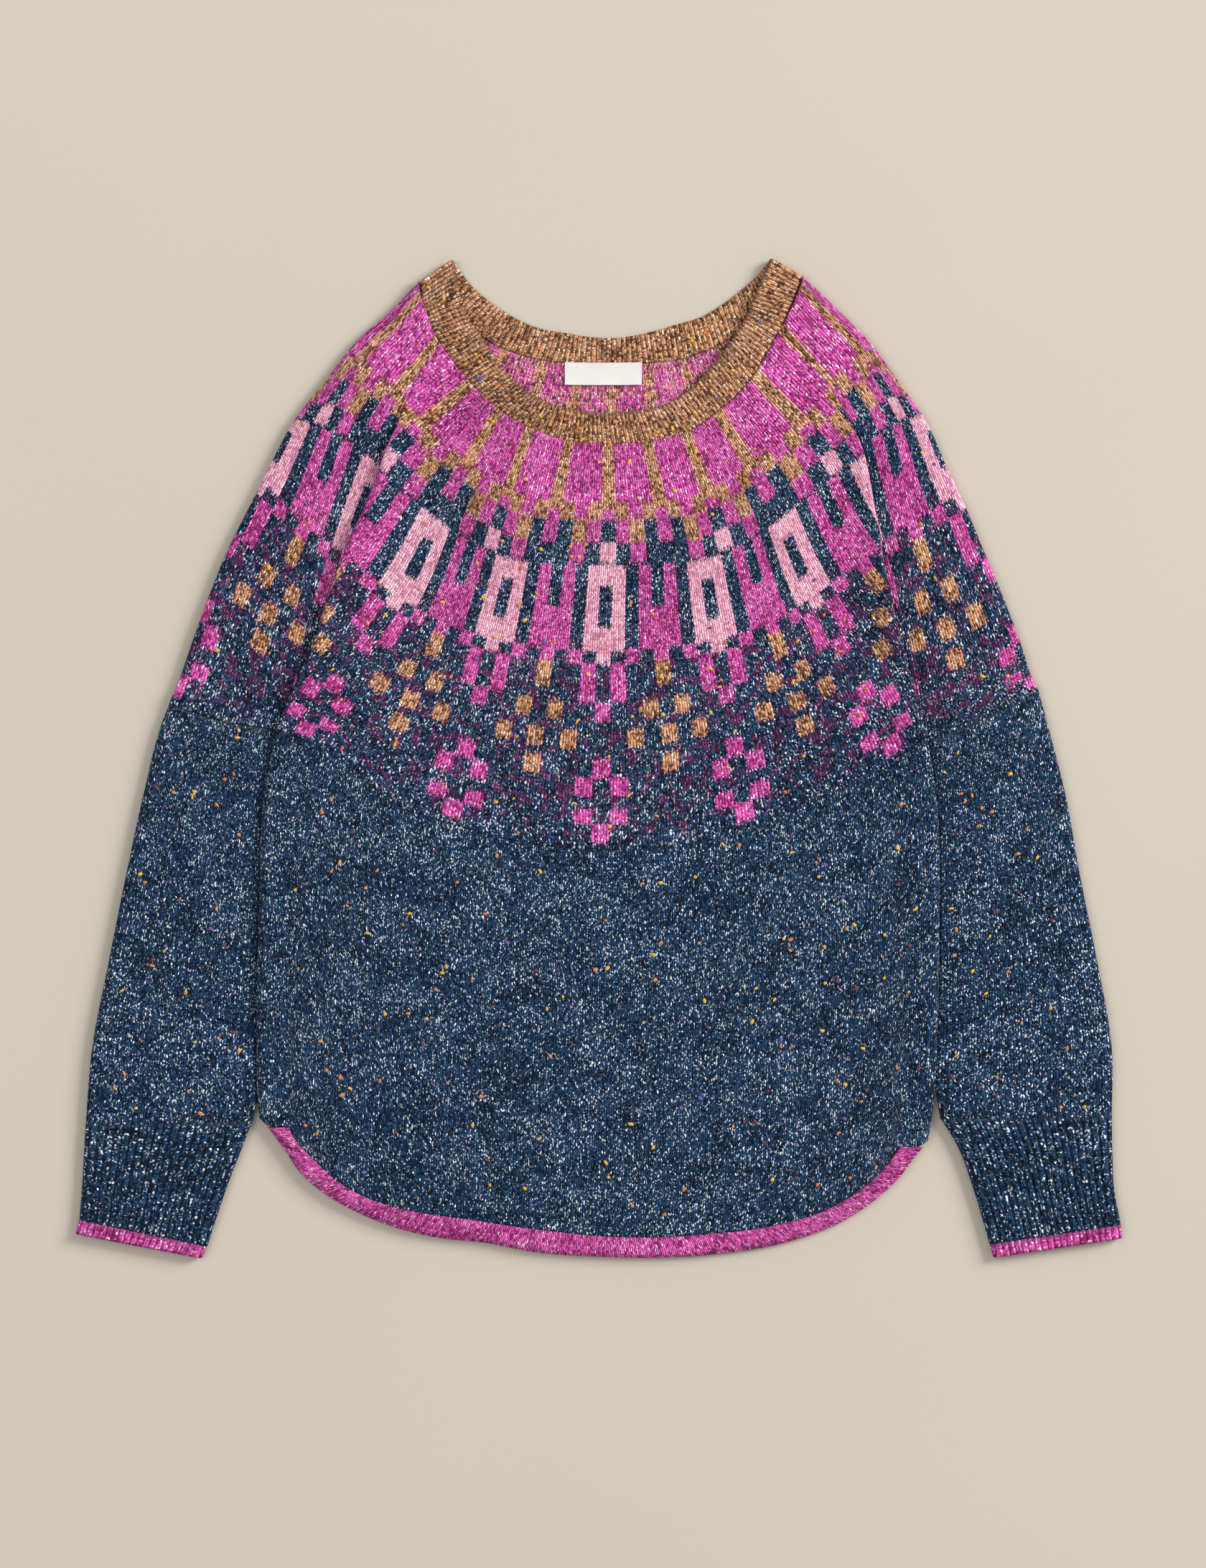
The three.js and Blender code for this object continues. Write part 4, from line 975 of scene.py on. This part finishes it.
def side_place(side):
    """The sleeve's part of the yoke: round at the shoulder, sunk where the body lies over it."""
    sign = -1 if side == "left" else 1

    def place(repeat, level, bulge):
        spot = side_maps[side](repeat, level)
        edge = side_maps[side](np.full(len(repeat), 4.0 * sign), level)
        spot[:, 1] += to_seam(side_maps[side], repeat, level)
        outline = shoulders[side]
        on_outline = np.interp(-edge[:, 1], -outline[:, 1], outline[:, 0])
        weight = smooth_step(*SHOULDER_EASE, np.abs(repeat))
        spot[:, 0] += (on_outline - edge[:, 0]) * weight
        inset = np.hypot(spot[:, 0] - on_outline, spot[:, 1] - edge[:, 1])
        table, out_sign = FOLDS[side]
        distance, out, along = beyond_line(table, spot, out_sign)
        full = smooth_step(*FOLD_GROWS, along)
        from_fold = np.maximum(distance - VALLEY_FROM, 0)
        valley = VALLEY_DEPTH * full * np.exp(-((from_fold / VALLEY_WIDTH) ** 2))
        hidden = smooth_step(*HIDDEN_SLOPE, distance) * HIDDEN_DEPTH
        height = YOKE_HEIGHT + soft_folds(*spot.T) + seam_rise(level) + bulge - valley - hidden
        height = mix(FRONT_RIM, np.maximum(height, LOWEST_BENEATH), rounded(inset))
        return spot, height, -distance
    return place


def stitches_to_unit(course):
    """How many stitches a unit of the chart has at each round."""
    return np.array(STITCHES_TO_UNIT)[np.searchsorted(ROUNDS[1:-1], course, side="right")]


def level_of(course):
    return np.interp(course, ROUNDS, ROUND_LEVELS)


def yoke_yarns(unit, course):
    """The yarn at each stitch: shares of any colour, of tan and of pale, then of plum strays."""
    repeat, level = (unit - 0.5) / UNITS, level_of(course)
    colours = np.zeros((len(repeat), 4))
    is_upper = level < LEVEL_LOWER
    upper = np.interp(repeat, *zip(*UPPER_STOPS))
    for chart, places, wanted in (
        (UPPER_CHART, upper, is_upper), (LOWER_CHART, repeat, ~is_upper),
    ):
        unit = np.rint(places * UNITS).astype(int)
        column = np.abs((unit + UNITS // 2) % UNITS - UNITS // 2)
        rows = np.searchsorted([end for end, _ in chart], level, side="right")
        rows = rows.clip(0, len(chart) - 1)
        for row, (_, yarns) in enumerate(chart):
            for spot, letter in enumerate(yarns):
                if letter != "N":
                    hit = wanted & (rows == row) & (column == spot)
                    colours[hit, 0] = 1
                    colours[hit, "MTP".index(letter)] = 1
    colours[:, 3] = smooth_step(*PLUM_COMES, level) * (1 - smooth_step(*PLUM_GOES, level))
    return colours


# The middle part reaches this many repeats each way, and the side parts go on from the second.
LAST_REPEAT = 51 / 16
SIDE_REPEAT = 47 / 16
yoke_wool = wool("yoke_wool", "navy", patterned=True)


def yoke_grid(first, last, columns, place):
    """A grid between two repeats. Half a unit moves it onto the chart's columns."""
    units = stitch_stops(first * UNITS + 0.5, last * UNITS + 0.5, columns)
    return knit_grid(units, stitch_stops(0, ROUNDS[-1], 1), place,
                     level_at=ROUNDS[1:], per_unit=stitches_to_unit)


def yoke_part(first, last, place):
    """One part of the front of the yoke, cut off a little way beneath its fold."""
    past = []

    def laid_out(unit, course, bulge):
        spot, height, beyond = place((unit - 0.5) / UNITS, level_of(course), bulge)
        past.append(beyond)
        return np.column_stack([spot, height])

    mesh = yoke_grid(first, last, COLUMNS_TO_UNIT, laid_out)
    with editing(mesh) as bm:
        too_far = [vert for vert, beyond in zip(bm.verts, past[0]) if beyond >= TUCK_DEPTH]
        bmesh.ops.delete(bm, geom=too_far, context="VERTS")
    close_sheet(mesh, FRONT_UNDER)
    return mesh


mesh = joined("yoke_front_knit", [
    yoke_part(-LAST_REPEAT, LAST_REPEAT, middle_place),
    yoke_part(-4, -SIDE_REPEAT, side_place("left")),
    yoke_part(SIDE_REPEAT, 4, side_place("right")),
])
yoke_front = knit_piece("yoke_front_knit", mesh, [yoke_wool], ["yoke_front"],
                        yoke_yarns, stitches_to_unit)

# The back of the yoke is the same knitting without folds. Its inside shows within the neck.
NECK_BACK = [
    (120, 348.5, 142, 335), (107.5, 333, 120, 312), (92, 320, 100, 297), (73, 308, 80, 286),
    (54, 302, 58, 278), (34.5, 296.5, 38, 275.5), (15.5, 293, 16, 274), (-3.5, 293, -4, 274),
    (-22.5, 296, -28, 275.5), (-42, 299.5, -50, 279.5), (-61, 308, -74, 288.5),
    (-76, 318, -92, 301), (-89.5, 330, -108, 315), (-102, 347.5, -125, 331.5),
]
BACK_COLUMNS_TO_UNIT = 6
BACK_WALL = 2.6
BACK_EDGE = 0.7
BACK_ROUND = 5
# The width of the back of the yoke at the neck and at the seam.
BACK_WIDTHS = (330, 600)
back_top = line([row[2:] for row in reversed(NECK_BACK)])
back_bottom = line([(-298.5, 39), (-262, 27)] + YOKE_SEAM + [(268, 28.5), (306, 47.5)])
back_outline = patch(back_top, back_bottom, line(SHOULDER["left"]), line(SHOULDER["right"]))


def yoke_back_place(unit, course, bulge):
    across = 0.5 - (unit - 0.5) / (8 * UNITS)
    down = 1 - course / ROUNDS[-1]
    spot = back_outline(across, down)
    inset = np.minimum(across, 1 - across) * mix(*BACK_WIDTHS, down)
    height = mix(BACK_EDGE, LEG_RIDGE - bulge, rounded(inset, BACK_ROUND))
    return np.column_stack([spot, height])


mesh = yoke_grid(-4, 4, BACK_COLUMNS_TO_UNIT, yoke_back_place)
yoke_inside = wool("yoke_inside", "navy", patterned=True, floats=True)
yoke_back = knit_piece("yoke_back_knit", mesh, [yoke_wool, yoke_inside],
                       ["yoke_back"], yoke_yarns, stitches_to_unit)
wall = yoke_back.modifiers.new("wall", "SOLIDIFY")
wall.thickness = BACK_WALL * MM
wall.offset = -1
wall.material_offset = 1


# Neckband: one ring of single rib in flecked tan wool, folded flat at its two upper corners.
# The front lies on the back, and both stand a little above the yoke that they are linked to.
NECK_FRONT = [
    (-102, 347.5, -125, 331.5), (-98, 330, -123, 316), (-91.5, 308.5, -117, 298),
    (-81, 292.5, -104.5, 279), (-70.5, 276.5, -93, 264), (-55, 259, -75, 245),
    (-40, 249.5, -53, 230.5), (-22.5, 243.5, -28.5, 220.5), (2, 240, 4, 216),
    (25, 241.5, 32, 219), (44.5, 245.5, 58, 224.5), (63.5, 257, 78, 237),
    (78.5, 272.5, 95.5, 251), (90, 287.5, 109, 267), (100, 303, 122, 289),
    (109.5, 324, 134, 316), (120, 348.5, 142, 335),
]
NECK_RIBS_FRONT = 116
NECK_RIBS_BACK = 78
NECK_RIBS_FOLD = 2
NECK_RIB_DEPTH = 0.7
NECK_WALL = 3.0
NECK_FRONT_MIDDLE = 5.9
NECK_BACK_MIDDLE = 1.5
NECK_COURSES = 11
NECK_DEPTH = 26
NECK_EDGE_THIN = 0.9
NECK_EDGE_ROUND = 3
# The ribs sink to this share of their depth at the band's two edges.
RIB_AT_EDGE = 0.35
RIB_BED = 0.1
FOLD_RADIUS = (NECK_FRONT_MIDDLE - NECK_BACK_MIDDLE) / 2
CORNER_INSET = FOLD_RADIUS + NECK_WALL / 2
RIB_PARTS = 6
# The band's ribs get a light painted shade in their grooves.
tan_wool = wool("tan_wool", "tan", groove_shade=0.35)


def neck_corner(row, sign):
    """Where a fold of the band ends on the flat: its upper and lower place, and the way out."""
    upper, lower = np.array(row[:2]), np.array(row[2:])
    along = (lower - upper) / np.hypot(*(lower - upper))
    out = np.array([-along[1], along[0]]) * sign
    return upper - out * CORNER_INSET, lower - out * CORNER_INSET, out


left_corner = neck_corner(NECK_FRONT[0], -1)
right_corner = neck_corner(NECK_FRONT[-1], 1)


def neck_arc(table, start, end):
    """The upper and the lower edge of the band, from one corner to the other."""
    upper = np.array([start[0], *[row[:2] for row in table[1:-1]], end[0]], float)
    lower = np.array([start[1], *[row[2:] for row in table[1:-1]], end[1]], float)
    middle = (upper + lower) / 2
    length = np.concatenate([[0], np.cumsum(np.hypot(*np.diff(middle, axis=0).T))])
    length /= length[-1]
    return lambda share: (through(length, upper, share), through(length, lower, share))


front_arc = neck_arc(NECK_FRONT, left_corner, right_corner)
back_arc = neck_arc(NECK_BACK, right_corner, left_corner)
RING_ENDS = np.cumsum([0, NECK_RIBS_FRONT, NECK_RIBS_FOLD, NECK_RIBS_BACK, NECK_RIBS_FOLD])
SECTION_ROWS = 2 * NECK_COURSES + 2


def neckband_place(wale, course, bulge):
    """The ring: round it by ribs, and round its section from the outer face to the inner."""
    wale, course = wale % RING_ENDS[-1], course % SECTION_ROWS
    part = np.searchsorted(RING_ENDS, wale, side="right") - 1
    share = (wale - RING_ENDS[part]) / np.diff(RING_ENDS)[part]
    upper, lower, out = np.zeros((3, len(wale), 2))
    turn = np.where(part == 2, math.pi, 0)
    for number, arc in ((0, front_arc), (2, back_arc)):
        here = part == number
        upper[here], lower[here] = arc(share[here])
    for number, corner in ((1, right_corner), (3, left_corner)):
        here = part == number
        upper[here], lower[here], out[here] = corner
        turn[here] = math.pi * (share[here] if number == 1 else 1 - share[here])
    outward = course <= NECK_COURSES
    down = np.where(outward, course, SECTION_ROWS - 1 - course) / NECK_COURSES
    rib = mix(RIB_AT_EDGE, 1, np.sin(math.pi * np.clip(down, 0.02, 0.98)))
    wave = rib_wave(wale, NECK_RIB_DEPTH) * rib
    from_edge = np.minimum(down, 1 - down) * NECK_DEPTH
    half = NECK_WALL / 2 - NECK_EDGE_THIN * (1 - rounded(from_edge, NECK_EDGE_ROUND))
    outside = half + np.where(part == 2, 0, wave - RIB_BED)
    inside = -half - np.where(part == 2, wave, 0)
    offset = np.where(outward, outside, inside)
    reach = (FOLD_RADIUS + offset) * np.sin(turn)
    across = mix(upper, lower, down[:, None]) + out * reach[:, None]
    middle = (NECK_FRONT_MIDDLE + NECK_BACK_MIDDLE) / 2 + FOLD_RADIUS * np.cos(turn)
    return np.column_stack([across, np.maximum(middle + offset * np.cos(turn), 0)])


mesh = knit_grid(stitch_stops(0, int(RING_ENDS[-1]), RIB_PARTS), stitch_stops(0, SECTION_ROWS, 1),
                 neckband_place, ridge=0, slant=0)
neckband = knit_piece("neckband_rib", merged(mesh), [tan_wool], ["neckband"])


# Label: a small blank strip of smooth woven tape, caught at its ends inside the back of the neck.
# Its corners lift a little from the knit.
LABEL_ACROSS = (-23.5, 30)
LABEL_UP = (259.7, 275.2)
LABEL_BOW = 1.2
LABEL_HEIGHTS = (4.0, 4.8)
LABEL_LIFT = 0.5
LABEL_WALL = 0.5
TAPE_DARK, TAPE_LIGHT = (0.74, 0.72, 0.69, 1), (0.84, 0.825, 0.8, 1)
label_tape, tree, shader = add_material("label_tape", roughness=0.55)
weave = surface_texture(tree, "ShaderNodeTexWave", scale=900)
weave.bands_direction = "Y"
threads = weave.outputs["Fac"]
tree.links.new(mix_colours(tree, threads, TAPE_DARK, TAPE_LIGHT), shader.inputs["Base Color"])
add_bump(tree, shader, threads, 0.0001)

label_mesh = bpy.data.meshes.new("label_strip")
with editing(label_mesh) as bm:
    bmesh.ops.create_grid(bm, x_segments=48, y_segments=16, size=0.5)
    for vert in bm.verts:
        across, up = vert.co.x + 0.5, vert.co.y + 0.5
        lift = LABEL_LIFT * math.cos(across * 2 * math.pi) ** 2 * (2 * up - 1) ** 2
        bow = LABEL_BOW * (across - 0.5) ** 2
        vert.co = Vector((mix(*LABEL_ACROSS, across), mix(*LABEL_UP, up) + bow,
                          mix(*LABEL_HEIGHTS, up) + lift)) * MM
label_mesh.materials.append(label_tape)
label = add_object("label_strip", label_mesh)
wall = label.modifiers.new("wall", "SOLIDIFY")
wall.thickness = LABEL_WALL * MM
wall.offset = -1
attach(label, "root")
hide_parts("label")


# Neps: small tufts of coloured wool caught in the yarn as it was spun, strewn all over the front.
# Each is a flattened, uneven tuft that stands a little out of the stitch that holds it.
NEP_COLOURS = [
    (0.52, 0.14, 0.03), (0.68, 0.39, 0.03), (0.1, 0.008, 0.018), (0.09, 0.07, 0.3),
    (0.55, 0.21, 0.05), (0.62, 0.35, 0.03),
]
# Half the length, half the width and half the height of a tuft.
NEP_LONG = (1.0, 2.1)
NEP_WIDE = (0.8, 1.3)
NEP_HIGH = 0.75
NEP_LIFT = 0.3
NEP_SEED = 41
NEP_JITTER = 0.28
NEP_FADED = (0.8, 0.55, 0.4, 1)
NEP_FADE = 0.12
SLEEVE_STREWN = (3, SLEEVE_WALES - 3), (2, SLEEVE_COURSES - 2)
SHOULDER_LEVELS = (LEVEL_NECK + 60, LEVEL_SEAM - 5)
chance = np.random.default_rng(NEP_SEED)


def strewn(count, place, across, along):
    """Places on a piece, from its own laying out, at random stitches between two limits."""
    wales = chance.uniform(*across, count)
    rows = chance.uniform(*along, count)
    return np.array(place(wales, rows, np.zeros(count)))


def on_yoke(place):
    return lambda repeat, level, bulge: np.column_stack(place(repeat, level, bulge)[:2])


spots = np.vstack([
    strewn(150, body_front_place, (4, BODY_WALES - 4), (3, BODY_COURSES - 2)),
    strewn(44, sleeve_places["left"], *SLEEVE_STREWN),
    strewn(44, sleeve_places["right"], *SLEEVE_STREWN),
    strewn(120, on_yoke(middle_place), (-2.2, 2.2), (LEVEL_NECK + 10, LEVEL_SEAM - 5)),
    strewn(14, on_yoke(side_place("left")), (-3.9, -3.4), SHOULDER_LEVELS),
    strewn(14, on_yoke(side_place("right")), (3.4, 3.9), SHOULDER_LEVELS),
    strewn(34, neckband_place, (1, NECK_RIBS_FRONT - 1), (1.5, NECK_COURSES - 1.5)),
    strewn(12, neckband_place, (NECK_RIBS_FRONT + 4, RING_ENDS[3] - 2),
           (NECK_COURSES + 3, SECTION_ROWS - 3)),
])
tufts = bpy.data.meshes.new("neps")
with editing(tufts) as bm:
    paint = bm.loops.layers.float_color.new("nep")
    for spot in spots:
        tuft = bmesh.ops.create_icosphere(bm, subdivisions=2, radius=1)["verts"]
        turn = chance.uniform(0, math.pi)
        long, wide = chance.uniform(*NEP_LONG), chance.uniform(*NEP_WIDE)
        colour = (*NEP_COLOURS[chance.integers(len(NEP_COLOURS))], 1)
        for vert in tuft:
            uneven = 1 + NEP_JITTER * chance.uniform(-1, 1)
            x, y = vert.co.x * long * uneven, vert.co.y * wide * uneven
            vert.co = Vector((spot[0] + x * math.cos(turn) - y * math.sin(turn),
                              spot[1] + x * math.sin(turn) + y * math.cos(turn),
                              spot[2] + NEP_LIFT + vert.co.z * NEP_HIGH * uneven)) * MM
        for face in {face for vert in tuft for face in vert.link_faces}:
            face.smooth = True
            for loop in face.loops:
                loop[paint] = colour
nep_wool, tree, shader = add_material("nep_wool", roughness=0.9)
dyed = tree.nodes.new("ShaderNodeAttribute")
dyed.attribute_name = "nep"
hairs = surface_texture(tree, "ShaderNodeTexNoise", scale=2600).outputs["Fac"]
faded = mix_colours(tree, hairs, dyed.outputs["Color"], NEP_FADED)
dyed_hairs = mix_colours(tree, NEP_FADE, dyed.outputs["Color"], faded)
tree.links.new(dyed_hairs, shader.inputs["Base Color"])
add_bump(tree, shader, hairs, 0.0003)
tufts.materials.append(nep_wool)
neps = add_object("neps", tufts)
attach(neps, "root")
